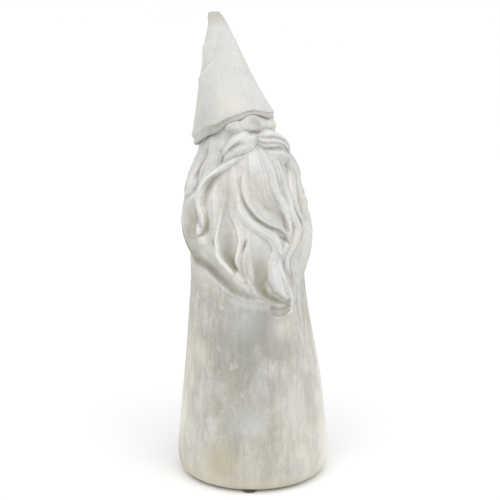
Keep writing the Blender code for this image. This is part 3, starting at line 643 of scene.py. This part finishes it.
def hair_band(angle_0):
    """Stations of a band of hair that falls from under the brim, thickest behind the ears."""
    top_z = float(lip_value(angle_0)) - 2
    outward = math.copysign(BACK_HAIR_SWEEP, math.sin(math.radians(angle_0)))
    scattered = math.sin(angle_0)
    end_z = BACK_HAIR_END_Z + BACK_HAIR_UNEVENNESS * scattered
    bulge = 3.4 + 3.1 * bell(abs(angle_0), BEHIND_THE_EARS, 13)
    return (
        (angle_0, top_z, 6.5, 1.5),
        (angle_0 + outward * 0.5, (top_z + end_z) / 2, 7.5, 2.8),
        (angle_0 + outward * 1.3, end_z + 8, 6, bulge),
        (angle_0 + outward * 1.5, end_z, 3, 0.4 * bulge),
    )


def mirrored(stations):
    """The same stations on the figure's other side."""
    return [(-angle, z, half_width, lift) for angle, z, half_width, lift in stations]


def figure_relief(angle, z):
    """The arms, the beard, the hair and the face."""
    made = Relief(angle, z)
    made.raise_band(BEARD_BED, "bed", blend=3.0)
    made.hair = np.where(made.lift > 0, 0.35, 0.0)
    made.raise_band(RIGHT_SLEEVE, "sleeve", crest=0.3, blend=2.0)
    made.raise_band(LEFT_SLEEVE, "sleeve", crest=-0.2, blend=2.0)
    made.settle()
    for stations in SLEEVE_RIDGES:
        made.raise_band(stations, "swell", blend=1.5)
    for angle_0 in BACK_HAIR_ANGLES:
        made.raise_band(hair_band(angle_0), strands=3, groove=0.6)
    for kind, crest, strands, groove, stations in SIDE_HAIR:
        made.raise_band(stations, kind, crest, strands, groove)
        made.raise_band(mirrored(stations), kind, -crest, strands, groove)
    made.raise_band(HAIR_HEM, "swell", blend=2.0)
    for kind, crest, strands, groove, stations in LOCKS:
        made.raise_band(stations, kind, crest, strands, groove)
    for stations in CREASES:
        made.cut(stations)
    for stations in CUFF_HOLLOW:
        made.cut(stations, 0.6)
    for stations in CUFF_FOLDS:
        made.raise_fold(stations)
    for mound in (FACE, CHEEK_RIGHT, CHEEK_LEFT):
        made.raise_mound(*mound)
    for kind, crest, strands, groove, stations in MOUSTACHE:
        made.raise_band(stations, kind, crest, strands, groove, blend=0.5)
    for stations in FACE_CREASES:
        made.cut(stations)
    made.raise_mound(*NOSE)
    # olive dirt with painted shade
    for stations in DIRT_AND_SHADE_RUNS:
        made.rub(made.dirt_and_shade, stations)
    for stations in SMEARS:
        made.rub(made.smear, stations)
    made.settle()
    made.lift = made.under
    return made


def softened(values, passes):
    """Values on the grid, averaged with their neighbours."""
    for _ in range(passes):
        around = (np.roll(values, 1, axis=1) + np.roll(values, -1, axis=1)) / 2
        ends = np.concatenate([values[:1], values, values[-1:]])
        up_and_down = (ends[:-2] + ends[2:]) / 2
        values = values / 2 + around / 4 + up_and_down / 4
    return values


def hollowness(lift):
    """How far each point lies below its wide and its close surroundings, in millimetres."""
    return np.clip(softened(lift, 160) - lift, -4, 6), np.clip(softened(lift, 6) - lift, -2, 2)


def column_angles():
    """Angles of the grid's columns, close together on the front and wide apart on the back."""
    front = np.linspace(-FRONT_HALF_SPAN, FRONT_HALF_SPAN, FRONT_COLUMNS)
    back_span = 360 - 2 * FRONT_HALF_SPAN
    back = FRONT_HALF_SPAN + back_span * np.arange(1, BACK_COLUMNS + 1) / (BACK_COLUMNS + 1)
    return np.concatenate([front, (back + 180) % 360 - 180])


def hollow_rows(angles):
    """Rings of the inner wall, from the roof down to the rim."""
    turn = np.radians(angles)
    heights, radii = zip(*HOLLOW)
    rows = []
    for z in np.linspace(heights[-1], heights[0], int((heights[-1] - heights[0]) / HOLLOW_STEP)):
        share = z / HOLLOW_ROOF_Z
        radius = smooth_curve(heights, radii, z)
        x = HOLLOW_CENTRE_TOP[0] * share**2 + radius * np.sin(turn)
        y = HOLLOW_CENTRE_TOP[1] * share**2 - radius * np.cos(turn)
        rows.append(np.stack([x, y, np.full(len(angles), z)], axis=-1))
    return np.array(rows)


def coat_rows(angles):
    """Rings of the coat, from the rim up to where the relief starts."""
    coat = np.linspace(COAT_START, COAT_TOP, int((COAT_TOP - COAT_START) / COAT_STEP))
    height = np.concatenate([RIM_HEIGHTS, coat])[:, None] + np.zeros(len(angles))
    angle = np.broadcast_to(angles, height.shape)
    return section_points(BODY, angle, height, 0.0)


def torso_rows(angles):
    """Rings of the arms, beard and face, up to the crease under the brim, and their relief."""
    top = lip_value(angles) + 0.4
    share = np.arange(1, RELIEF_ROWS + 1)[:, None] / RELIEF_ROWS
    height = COAT_TOP + (top - COAT_TOP) * share
    angle = np.broadcast_to(angles, height.shape).copy()
    made = figure_relief(angle, height)
    made.lift = softened(made.lift, 2)
    skin = section_points(BODY, angle, height, made.lift)
    crease = section_points(HAT, angle, height, BRIM_UNDERCUT)
    tuck = np.clip(1 - (top - height) / lip_value(angles, 3), 0.0, 1.0) ** 2
    # Olive dirt with painted shade in the crease under the brim, heavier on the right
    brim_dirt_and_shade = 0.12 + 0.45 * fade(angles, -42, 6)
    made.dirt_and_shade = np.maximum(made.dirt_and_shade, brim_dirt_and_shade * tuck**0.7)
    tuck = tuck[..., None]
    return skin * (1 - tuck) + crease * tuck, made


def hat_rows(angles):
    """Rings from the lip of the brim up to the tip of the hat, and the lift of the folds."""
    lip = lip_value(angles)
    hem = lip_value(angles, 2)
    flat = bell(angles, FLAT_HEM_ANGLE, FLAT_HEM_SPAN)
    flare = 1 - 0.75 * flat
    rows = []
    for share, reach in HEM_PROFILE:
        recess = HEM_RECESS * flat * min(max(1 - share / HEM_RECESS_TOP, 0.0), 1.2)
        rows.append(section_points(HAT, angles, lip + share * hem, reach * flare - recess))
    last_share, last_reach = HEM_PROFILE[-1]
    start = lip + last_share * hem + HEM_TO_HAT
    share = np.linspace(0, 1, HAT_ROWS_COUNT)[:, None]
    height = start + (HAT[-1][0] - start) * share
    angle = np.broadcast_to(angles, height.shape).copy()
    folds = Relief(angle, height)
    for stations in HAT_FOLDS:
        folds.raise_band(stations, "lock", crest=0.7)
    reach = last_reach * flare * (1 - share) ** 6 + folds.lift
    return np.concatenate([rows, section_points(HAT, angle, height, reach)]), folds.lift


def hem_dirt_and_shade(angle, share):
    """Olive dirt with painted shade on the brim's hem and just under it: thickest over the right cheek, thin
    over the left one.
    """
    right_cheek = bell(angle, -64, 20)
    far_right = 1 - 0.6 * fade(angle, -80, 4)
    left_side = fade(-angle, -8, 5)
    if share < -0.05:
        return (0.7 - 0.35 * left_side) * far_right
    in_shade = 1.0 if share <= 0.8 else 0.0
    middle_line = 0.25 * (1 - right_cheek) if 0.2 < share < 0.6 else 0.0
    return (0.65 + 0.5 * right_cheek - 0.1 * left_side - middle_line) * in_shade * far_right


def hand_shaped(points):
    """Points moved a little, as clay is under the fingers, but not on the rim."""
    noise.seed_set(HAND_SEED)
    moved = np.empty_like(points)
    for k, point in enumerate(points):
        moved[k] = 0
        for length, height, shift in HAND_WAVES:
            moved[k] += noise.noise_vector(Vector(point) / length + Vector(shift)) * height
    above_rim = points[:, 2] - RIM_Z
    share = np.clip(above_rim / HAND_FADE, 0, 1) * (above_rim > 0.05)
    return points + moved * share[:, None]


def add_piece(name, mesh, *materials):
    """Smooth object made of the mesh."""
    for material in materials:
        mesh.materials.append(material)
    piece = bpy.data.objects.new(name, mesh)
    bpy.context.scene.collection.objects.link(piece)
    return piece


def figure_casting(whitewash, bare):
    """The concrete figure: one closed skin, with bare concrete inside the hollow."""
    angles = column_angles()
    inner = hollow_rows(angles)
    coat = coat_rows(angles)
    torso, made = torso_rows(angles)
    hat, fold_lift = hat_rows(angles)
    grid = np.concatenate([inner, coat, torso, hat])
    rows, count = grid.shape[:2]
    ends = [(*HOLLOW_CENTRE_TOP, HOLLOW_ROOF_Z), HAT_TIP]
    points = np.concatenate([hand_shaped(grid.reshape(-1, 3)), ends]) * MM
    roof = rows * count
    tip = roof + 1
    faces = []
    for k in range(count):
        after = (k + 1) % count
        faces.append((roof, after, k))
        faces.append((tip, (rows - 1) * count + k, (rows - 1) * count + after))
    index = np.arange(rows * count).reshape(rows, count)
    lower, upper = index[:-1], index[1:]
    quads = np.stack([lower, np.roll(lower, -1, 1), np.roll(upper, -1, 1), upper], axis=-1)
    faces.extend(map(tuple, quads.reshape(-1, 4).tolist()))
    mesh = bpy.data.meshes.new("gnome_casting")
    mesh.from_pydata(points.tolist(), [], faces)
    piece = add_piece("gnome_casting", mesh, whitewash, bare)
    inside = len(inner) * count
    for polygon in mesh.polygons:
        polygon.use_smooth = True
        if all(v < inside or v == roof for v in polygon.vertices):
            polygon.material_index = 1
    wide, fine = hollowness(made.lift)
    # Values for the wash's colour: olive dirt with painted shade in hollows, creases and on the brim's hem,
    # and lighter wash with painted highlight on ridges
    hem_crest = np.zeros((len(HEM_PROFILE), count))
    hem_dirt_and_shade_rows = np.stack([hem_dirt_and_shade(angles, share) for share, reach in HEM_PROFILE])
    painted = {
        "strand": made.strand,
        "hair": made.hair,
        "hollowness": wide,
        "crest": np.concatenate([-fine, hem_crest, -1.1 * hollowness(fold_lift)[1]]),
        "smear": made.smear,
        "dirt_and_shade": np.concatenate([made.dirt_and_shade, hem_dirt_and_shade_rows]),
    }
    torso_start = (len(inner) + len(coat)) * count
    for name, values in painted.items():
        everywhere = np.zeros(len(mesh.vertices), np.float32)
        everywhere[torso_start : torso_start + values.size] = values.ravel()
        mesh.attributes.new(name, "FLOAT", "POINT").data.foreach_set("value", everywhere)
    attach(piece, "root")
    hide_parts("figure_casting")


# ---------------------------------------------------------------- materials


class Nodes:
    """Short way to write a material's node tree, with the colour that has been painted so far."""

    def __init__(self, name):
        self.material = bpy.data.materials.new(name)
        self.material.use_nodes = True
        self.tree = self.material.node_tree
        self.shader = self.tree.nodes["Principled BSDF"]
        self.place = self.add("ShaderNodeTexCoord").outputs["Object"]
        self.colour = None

    def add(self, kind, inputs=None, **settings):
        """New node; an input is a value or another node's output."""
        node = self.tree.nodes.new(kind)
        for key, value in settings.items():
            setattr(node, key, value)
        for key, value in (inputs or {}).items():
            if isinstance(value, bpy.types.NodeSocket):
                self.tree.links.new(value, node.inputs[key])
            else:
                node.inputs[key].default_value = value
        return node

    def stretched(self, scale, shift=(0, 0, 0)):
        inputs = {"Vector": self.place, "Scale": scale, "Location": shift}
        return self.add("ShaderNodeMapping", inputs).outputs["Vector"]

    def noise(self, scale, detail=4, roughness=0.55, vector=None, distortion=0.0, dimensions="3D"):
        inputs = {"Scale": scale, "Detail": detail, "Roughness": roughness, "Distortion": distortion}
        inputs["Vector"] = vector or self.place
        return self.add("ShaderNodeTexNoise", inputs, noise_dimensions=dimensions).outputs["Fac"]

    def pits(self, scale, size):
        """1 in the middle of scattered round pits, 0 between them."""
        node = self.add("ShaderNodeTexVoronoi", {"Vector": self.place, "Scale": scale}, feature="F1")
        return self.ramp(node.outputs["Distance"], 0.0, size, 1.0, 0.0)

    def ramp(self, value, low, high, at_low=0.0, at_high=1.0):
        inputs = {"Value": value, "From Min": low, "From Max": high, "To Min": at_low, "To Max": at_high}
        return self.add("ShaderNodeMapRange", inputs, interpolation_type="SMOOTHSTEP").outputs["Result"]

    def times(self, *factors):
        product, *others = factors
        for factor in others:
            product = self.add("ShaderNodeMath", {0: product, 1: factor}, operation="MULTIPLY").outputs[0]
        return product

    def mix(self, share, a, b):
        return self.add("ShaderNodeMix", {0: share, 6: a, 7: b}, data_type="RGBA").outputs[2]

    def paint(self, tint, *shares):
        """Lays a tint over the colour so far, as strongly as the product of the shares."""
        self.colour = self.mix(self.times(*shares), self.colour, rgb(*tint))

    def near(self, spot, radius):
        """1 at a spot, falling to 0 at a distance from it."""
        node = self.add("ShaderNodeVectorMath", {0: self.place, 1: spot}, operation="DISTANCE")
        return self.ramp(node.outputs["Value"], 0.0, radius, 1.0, 0.0)

    def attribute(self, name):
        return self.add("ShaderNodeAttribute", attribute_name=name).outputs["Fac"]

    def height(self):
        return self.add("ShaderNodeSeparateXYZ", {0: self.place}).outputs["Z"]

    def finish(self, roughness, *bumps):
        """Joins the colour, the roughness and the bumps (height, strength, distance) to the shader."""
        self.tree.links.new(self.colour, self.shader.inputs["Base Color"])
        self.tree.links.new(roughness, self.shader.inputs["Roughness"])
        below = {}
        for height, strength, distance in bumps:
            inputs = {"Height": height, "Strength": strength, "Distance": distance, **below}
            below = {"Normal": self.add("ShaderNodeBump", inputs).outputs["Normal"]}
        if bumps:
            self.tree.links.new(below["Normal"], self.shader.inputs["Normal"])
        return self.material


def rgb(red, green, blue):
    """Linear colour from the eight-bit values that a screen shows."""
    def linear(value):
        value = value / 255
        return value / 12.92 if value <= 0.04045 else ((value + 0.055) / 1.055) ** 2.4
    return (linear(red), linear(green), linear(blue), 1.0)


# Uneven spots in the wash, and some spots of painted light and shade: centre, reach, strength, tint
SPOTS = (
    # painted shade on the lower right side of the hat
    ((-56, 12, 325), 50, 0.85, (188, 187, 182)),
    # painted light on the hat's left side
    ((22, -4, 350), 34, 0.6, (232, 231, 228)),
    # painted light over the shade under the moustache's left half and under the brim by the left cheek
    ((31, -37, 287), 19, 0.7, (238, 237, 233)),
    ((20, -30, 321), 13, 0.45, (230, 229, 225)),
    # painted light on the coat's two sides, as seen from the camera
    ((-62, 36, 80), 72, 0.85, (236, 233, 222)),
    ((60, -26, 90), 90, 0.8, (236, 234, 228)),
    ((-27, -48, 145), 44, 0.72, (158, 158, 152)),
    ((2, -55, 140), 22, 0.3, (222, 219, 210)),
    ((-56, -35, 27), 32, 0.85, (180, 175, 154)),
    ((-29, -56, 75), 18, 0.6, (168, 165, 150)),
    ((-29, -58, 48), 16, 0.5, (172, 169, 153)),
    ((2, -53, 150), 20, 0.65, (226, 223, 210)),
    ((-58, -8, 121), 20, 0.65, (222, 216, 200)),
    ((7, -62, 73), 34, 0.5, (222, 219, 214)),
    ((10, -65, 33), 14, 0.6, (228, 222, 204)),
    ((-60, 20, 55), 36, 0.55, (240, 237, 226)),
    ((14, -64, 36), 45, 0.35, (222, 219, 212)),
    ((-7, -22, 320.5), 10, 0.6, (172, 171, 163)),
    ((-30, -12, 320.5), 13, 0.35, (186, 184, 170)),
    ((-58, 10, 130), 34, 0.4, (218, 214, 202)),
    ((-34, -52, 66), 30, 0.35, (204, 208, 213)),
    ((-40, -60, 20), 50, 0.25, (180, 174, 154)),
    ((-38, -48, 155), 24, 0.3, (216, 219, 222)),
    ((58, -34, 20), 65, 1, (238, 235, 226)),
    ((-62, -8, 20), 36, 0.45, (230, 226, 212)),
)


def whitewashed_concrete():
    """Brushed whitewash over fine concrete: cream and bluish patches, streaks, olive dirt with painted shade
    in the hollows and creases, and some painted light and shade.
    """
    n = Nodes("whitewashed_concrete")
    z = n.height()
    hollow, crest, dirt_and_shade, smear, hair, strand = (
        n.attribute(name) for name in ("hollowness", "crest", "dirt_and_shade", "smear", "hair", "strand")
    )
    patches = n.noise(22, 3, 0.5)
    cool_patches = n.noise(30, 3, 0.6, n.stretched((1, 1, 0.5), (0.3, 0.1, 0.7)))
    cream_patches = n.noise(42, 3, 0.5, n.stretched((1, 1, 0.6), (0.9, 0.4, 0.2)))
    streaks = n.noise(170, 4, 0.65, n.stretched((1, 1, 0.09)), 0.4)
    clouds = n.noise(44, 2, 0.5, n.stretched((1, 1, 0.75), (0.1, 0.8, 0.3)), 0.1)
    blotches = n.noise(90, 3, 0.6, None, 0.3)
    flecks = n.noise(120, 3, 0.6, n.stretched((1, 1, 0.7), (0.7, 0.2, 0.5)))
    brush = n.noise(340, 3, 0.6, n.stretched((1, 1, 0.3), (0.4, 0.4, 0.1)))
    drips = n.noise(230, 4, 0.6, n.stretched((1, 1, 0.12), (0.6, 0.1, 0.4)))
    wide_streaks = n.noise(48, 4, 0.6, n.stretched((1, 1, 0.22), (0.2, 0.5, 0.1)), 0.3)
    speckle = n.noise(900, 3, 0.6)
    mottle = n.noise(150, 5, 0.65, None, 0.5)
    along = n.add("ShaderNodeCombineXYZ", {0: n.times(strand, 0.62), 1: n.times(z, 16.0)}).outputs[0]
    comb = n.noise(1.0, 4, 0.65, along, dimensions="2D")

    low_coat = n.ramp(z, 0.155, 0.220, 1.0, 0.0)
    upper_coat = n.times(low_coat, n.ramp(z, 0.085, 0.130, 0.3, 1.0))
    below_hat = n.times(n.ramp(z, 0.295, 0.320, 1.0, 0.3), n.ramp(z, 0.12, 0.20, 0.45, 1.0))
    in_hair = n.ramp(hair, 0.0, 0.6)
    ragged = n.ramp(wide_streaks, 0.32, 0.60, 0.5, 1.1)

    washed = n.mix(n.ramp(wide_streaks, 0.38, 0.64), rgb(178, 174, 161), rgb(200, 196, 185))
    washed = n.mix(n.ramp(cool_patches, 0.50, 0.66, 0.0, 0.75), washed, rgb(196, 196, 194))
    washed = n.mix(n.ramp(cream_patches, 0.56, 0.68, 0.0, 0.7), washed, rgb(214, 209, 192))
    n.colour = n.mix(n.ramp(patches, 0.40, 0.66), rgb(212, 211, 207), rgb(220, 218, 212))
    n.paint((208, 211, 216), n.ramp(cool_patches, 0.52, 0.70, 0.0, 0.6))
    n.colour = n.mix(n.times(low_coat, 0.9), n.colour, washed)
    # Darker over the front of the coat
    front_of_coat = n.near((-0.034, -0.052, 0.122), 0.075)
    n.paint((160, 158, 149), front_of_coat, n.ramp(wide_streaks, 0.3, 0.6, 0.6, 1.0))
    n.paint((150, 145, 130), n.ramp(streaks, 0.5, 0.68), n.ramp(z, 0.14, 0.24, 0.45, 0.12))
    n.paint((168, 166, 156), n.ramp(clouds, 0.48, 0.70, 0.0, 0.55), low_coat)
    n.paint((210, 210, 210), n.ramp(clouds, 0.52, 0.28, 0.0, 0.50), low_coat)
    n.paint((216, 211, 197), n.ramp(flecks, 0.56, 0.70, 0.0, 0.55), low_coat)
    n.paint((150, 148, 138), n.ramp(brush, 0.45, 0.68, 0.0, 0.35), low_coat)
    n.paint((164, 164, 162), n.ramp(drips, 0.48, 0.64, 0.0, 0.60), upper_coat)
    n.paint((222, 220, 212), n.ramp(drips, 0.46, 0.30, 0.0, 0.32), upper_coat)
    # Olive dirt with painted shade deep in the wide hollows
    n.paint((142, 139, 120), n.ramp(hollow, 0.5, 5.0, 0.0, 0.4), n.ramp(patches, 0.3, 0.7, 0.6, 1.0))
    n.paint((232, 233, 236), smear, n.ramp(mottle, 0.3, 0.6, 0.45, 1.0))
    n.paint((176, 173, 162), n.ramp(comb, 0.50, 0.68, 0.0, 0.42), in_hair)
    n.paint((234, 234, 231), n.ramp(comb, 0.48, 0.34, 0.0, 0.40), in_hair)
    n.paint((184, 180, 168), n.ramp(mottle, 0.50, 0.68, 0.0, 0.35), below_hat)
    n.paint((232, 232, 228), n.ramp(mottle, 0.46, 0.32, 0.0, 0.35), below_hat)
    # Olive dirt with painted shade: in hollows and creases, under the brim and the nose, and on faces of the
    # arm that turn down
    uneven_dirt_and_shade = n.times(n.ramp(mottle, 0.36, 0.62, 1.0, 0.8), n.ramp(blotches, 0.42, 0.66, 1.0, 0.7))
    n.paint((124, 121, 97), dirt_and_shade, uneven_dirt_and_shade, 0.88)
    # Lighter wash on the ridges, partly a painted highlight, and painted shade down in the fine creases
    n.paint((240, 239, 236), n.ramp(crest, 0.08, 0.6, 0.0, 0.65))
    n.paint((140, 137, 120), n.ramp(crest, -0.1, -0.9, 0.0, 0.25))
    # uneven wash, and the spots of painted light and shade marked in the table
    for spot, reach, strength, tint in SPOTS:
        n.paint(tint, n.near(Vector(spot) * MM, reach * MM), ragged, strength)
    n.paint((214, 207, 187), n.ramp(z, 0.004, 0.022, 0.6, 0.0))
    n.paint((170, 163, 150), n.ramp(z, 0.396, 0.409, 0.0, 0.5))
    n.paint((110, 106, 94), n.ramp(speckle, 0.35, 0.7, 0.12, 0.0))
    n.shader.inputs["Specular IOR Level"].default_value = 0.3
    return n.finish(
        n.ramp(n.noise(120, 4), 0.3, 0.7, 0.82, 0.97),
        (n.times(comb, hair), 0.7, 0.0018),
        (streaks, 0.35, 0.0006),
        (n.noise(420, 5, 0.6), 0.45, 0.0005),
        (n.pits(260, 0.16), 0.6, -0.0006),
    )


def bare_concrete():
    """Unpainted concrete inside the hollow: grey, sandy, with air holes and spilt wash at the rim."""
    n = Nodes("bare_concrete")
    grain = n.noise(700, 4, 0.65)
    holes = n.pits(95, 0.17)
    n.colour = n.mix(n.ramp(n.noise(18, 5, 0.6), 0.35, 0.65), rgb(150, 147, 138), rgb(176, 172, 160))
    n.paint((112, 108, 100), n.ramp(grain, 0.4, 0.7, 0.0, 0.35))
    n.paint((84, 80, 72), holes, 0.7)
    n.paint((206, 202, 190), n.ramp(n.height(), 0.004, 0.03, 1.0, 0.0), n.ramp(n.noise(45, 4), 0.45, 0.6))
    return n.finish(n.ramp(grain, 0.3, 0.7, 0.86, 0.98), (grain, 0.6, 0.0006), (holes, 0.8, -0.0012))


def grey_felt():
    """Dark pressed felt, with matted fibres and lint."""
    n = Nodes("grey_felt")
    fibres = n.noise(2600, 4, 0.7, n.stretched((1, 1, 0.4)), 1.5)
    clumps = n.noise(420, 3, 0.6)
    n.colour = n.mix(n.ramp(fibres, 0.35, 0.65), rgb(34, 34, 35), rgb(74, 73, 72))
    n.paint((104, 101, 96), n.ramp(clumps, 0.55, 0.75, 0.0, 0.4))
    n.shader.inputs["Sheen Weight"].default_value = 0.35
    n.shader.inputs["Sheen Roughness"].default_value = 0.6
    return n.finish(n.ramp(fibres, 0.3, 0.7, 0.88, 1.0), (fibres, 0.8, 0.0003), (clumps, 0.6, 0.0004))


# ---------------------------------------------------------------- pads, floor, light, camera

PAD_SIDES = 72
PAD_EDGE_RINGS = 7
PAD_FRAY = 0.00012
PAD_FRAY_SCALE = 900


def felt_pad(node, felt):
    """Round felt pad: pressed flat above and below, with a rounded, slightly frayed edge."""
    low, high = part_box(node)
    centre = (low + high) / 2
    radius = (high.x - low.x) / 2
    half = (high.z - low.z) / 2
    profile = [(share * radius * 0.9, -half) for share in (0.35, 0.7)]
    for k in range(PAD_EDGE_RINGS):
        turn = math.pi * (k / (PAD_EDGE_RINGS - 1) - 0.5)
        profile.append((radius * 0.95 + radius * 0.05 * math.cos(turn), half * math.sin(turn)))
    profile += [(share * radius * 0.9, half) for share in (0.7, 0.35)]
    mesh_data = bmesh.new()
    rings = []
    for reach, z in profile:
        ring = []
        for k in range(PAD_SIDES):
            turn = 2 * math.pi * k / PAD_SIDES
            outward = Vector((math.cos(turn), math.sin(turn), 0))
            spot = centre + Vector((reach * outward.x, reach * outward.y, z))
            fray = noise.noise(spot * PAD_FRAY_SCALE) * PAD_FRAY * (reach / radius) ** 6
            ring.append(mesh_data.verts.new(spot + outward * (fray - PAD_FRAY)))
        rings.append(ring)
    for lower, upper in zip(rings[:-1], rings[1:]):
        for k in range(PAD_SIDES):
            after = (k + 1) % PAD_SIDES
            mesh_data.faces.new((lower[k], lower[after], upper[after], upper[k]))
    mesh_data.faces.new(list(reversed(rings[0])))
    mesh_data.faces.new(rings[-1])
    bmesh.ops.recalc_face_normals(mesh_data, faces=mesh_data.faces)
    name = node.replace("foot_pad", "felt_pad")
    mesh = bpy.data.meshes.new(name)
    mesh_data.to_mesh(mesh)
    mesh_data.free()
    mesh.shade_smooth()
    piece = add_piece(name, mesh, felt)
    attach(piece, "root")
    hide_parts(node)


FLOOR_SIZE = 14.0


def floor():
    """Plain pale studio floor."""
    n = Nodes("pale_floor")
    n.colour = n.mix(n.ramp(n.noise(3, 2), 0.3, 0.7), (0.93, 0.93, 0.93, 1), (0.95, 0.95, 0.95, 1))
    half = FLOOR_SIZE / 2
    mesh = bpy.data.meshes.new("floor")
    corners = [(-half, -half, 0), (half, -half, 0), (half, half, 0), (-half, half, 0)]
    mesh.from_pydata(corners, [], [(0, 1, 2, 3)])
    n.tree.links.new(n.colour, n.shader.inputs["Base Color"])
    n.shader.inputs["Roughness"].default_value = 0.9
    add_piece("floor", mesh, n.material)


def aimed(name, data, place, direction):
    """Lamp or camera at a place, turned so that it looks in a direction."""
    thing = bpy.data.objects.new(name, data)
    thing.location = place
    thing.rotation_euler = direction.to_track_quat("-Z", "Y").to_euler()
    bpy.context.scene.collection.objects.link(thing)
    return thing


SIDE_LAMP_SIZE = 1.0
SIDE_LAMP_AIM = Vector((0, 0, 0.05))
SIDE_LAMPS = {"left_side": ((-1.5, 0.9, 0.4), 3), "right_side": ((1.5, -0.3, 0.25), 5)}
SURROUNDINGS = 0.62
OVERHEAD_POWER = 1.75
OVERHEAD_SOFTNESS = math.radians(75)
OVERHEAD_DIRECTION = Vector((0.32, 0.55, -1.0))


def studio():
    """Bright even surroundings, a soft light from above the camera and a lamp at each side."""
    world = bpy.data.worlds.new("studio")
    world.use_nodes = True
    background = world.node_tree.nodes["Background"]
    background.inputs["Color"].default_value = (1, 1, 1, 1)
    background.inputs["Strength"].default_value = SURROUNDINGS
    bpy.context.scene.world = world
    overhead = bpy.data.lights.new("overhead", "SUN")
    overhead.energy = OVERHEAD_POWER
    overhead.angle = OVERHEAD_SOFTNESS
    aimed("overhead", overhead, (0, 0, 0), OVERHEAD_DIRECTION)
    for name, (place, power) in SIDE_LAMPS.items():
        lamp = bpy.data.lights.new(name, "AREA")
        lamp.shape = "DISK"
        lamp.size = SIDE_LAMP_SIZE
        lamp.energy = power
        aimed(name, lamp, place, SIDE_LAMP_AIM - Vector(place))
    bpy.context.scene.view_settings.view_transform = "Standard"


CAMERA_AZIMUTH = math.radians(-30)
CAMERA_DISTANCE = 1.5
CAMERA_HEIGHT = 0.606
CAMERA_AIM = Vector((-0.0022, 0.0013, 0.2034))
CAMERA_LENS = 127.3


def camera():
    """Long lens, a little above the figure and on its right front."""
    data = bpy.data.cameras.new("camera")
    data.lens = CAMERA_LENS
    data.sensor_width = 36
    x = CAMERA_DISTANCE * math.sin(CAMERA_AZIMUTH)
    y = -CAMERA_DISTANCE * math.cos(CAMERA_AZIMUTH)
    place = Vector((x, y, CAMERA_HEIGHT))
    bpy.context.scene.camera = aimed("camera", data, place, CAMERA_AIM - place)


camera()
studio()
floor()
figure_casting(whitewashed_concrete(), bare_concrete())
FELT = grey_felt()
for pad_node in sorted(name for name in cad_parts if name.startswith("foot_pad")):
    felt_pad(pad_node, FELT)
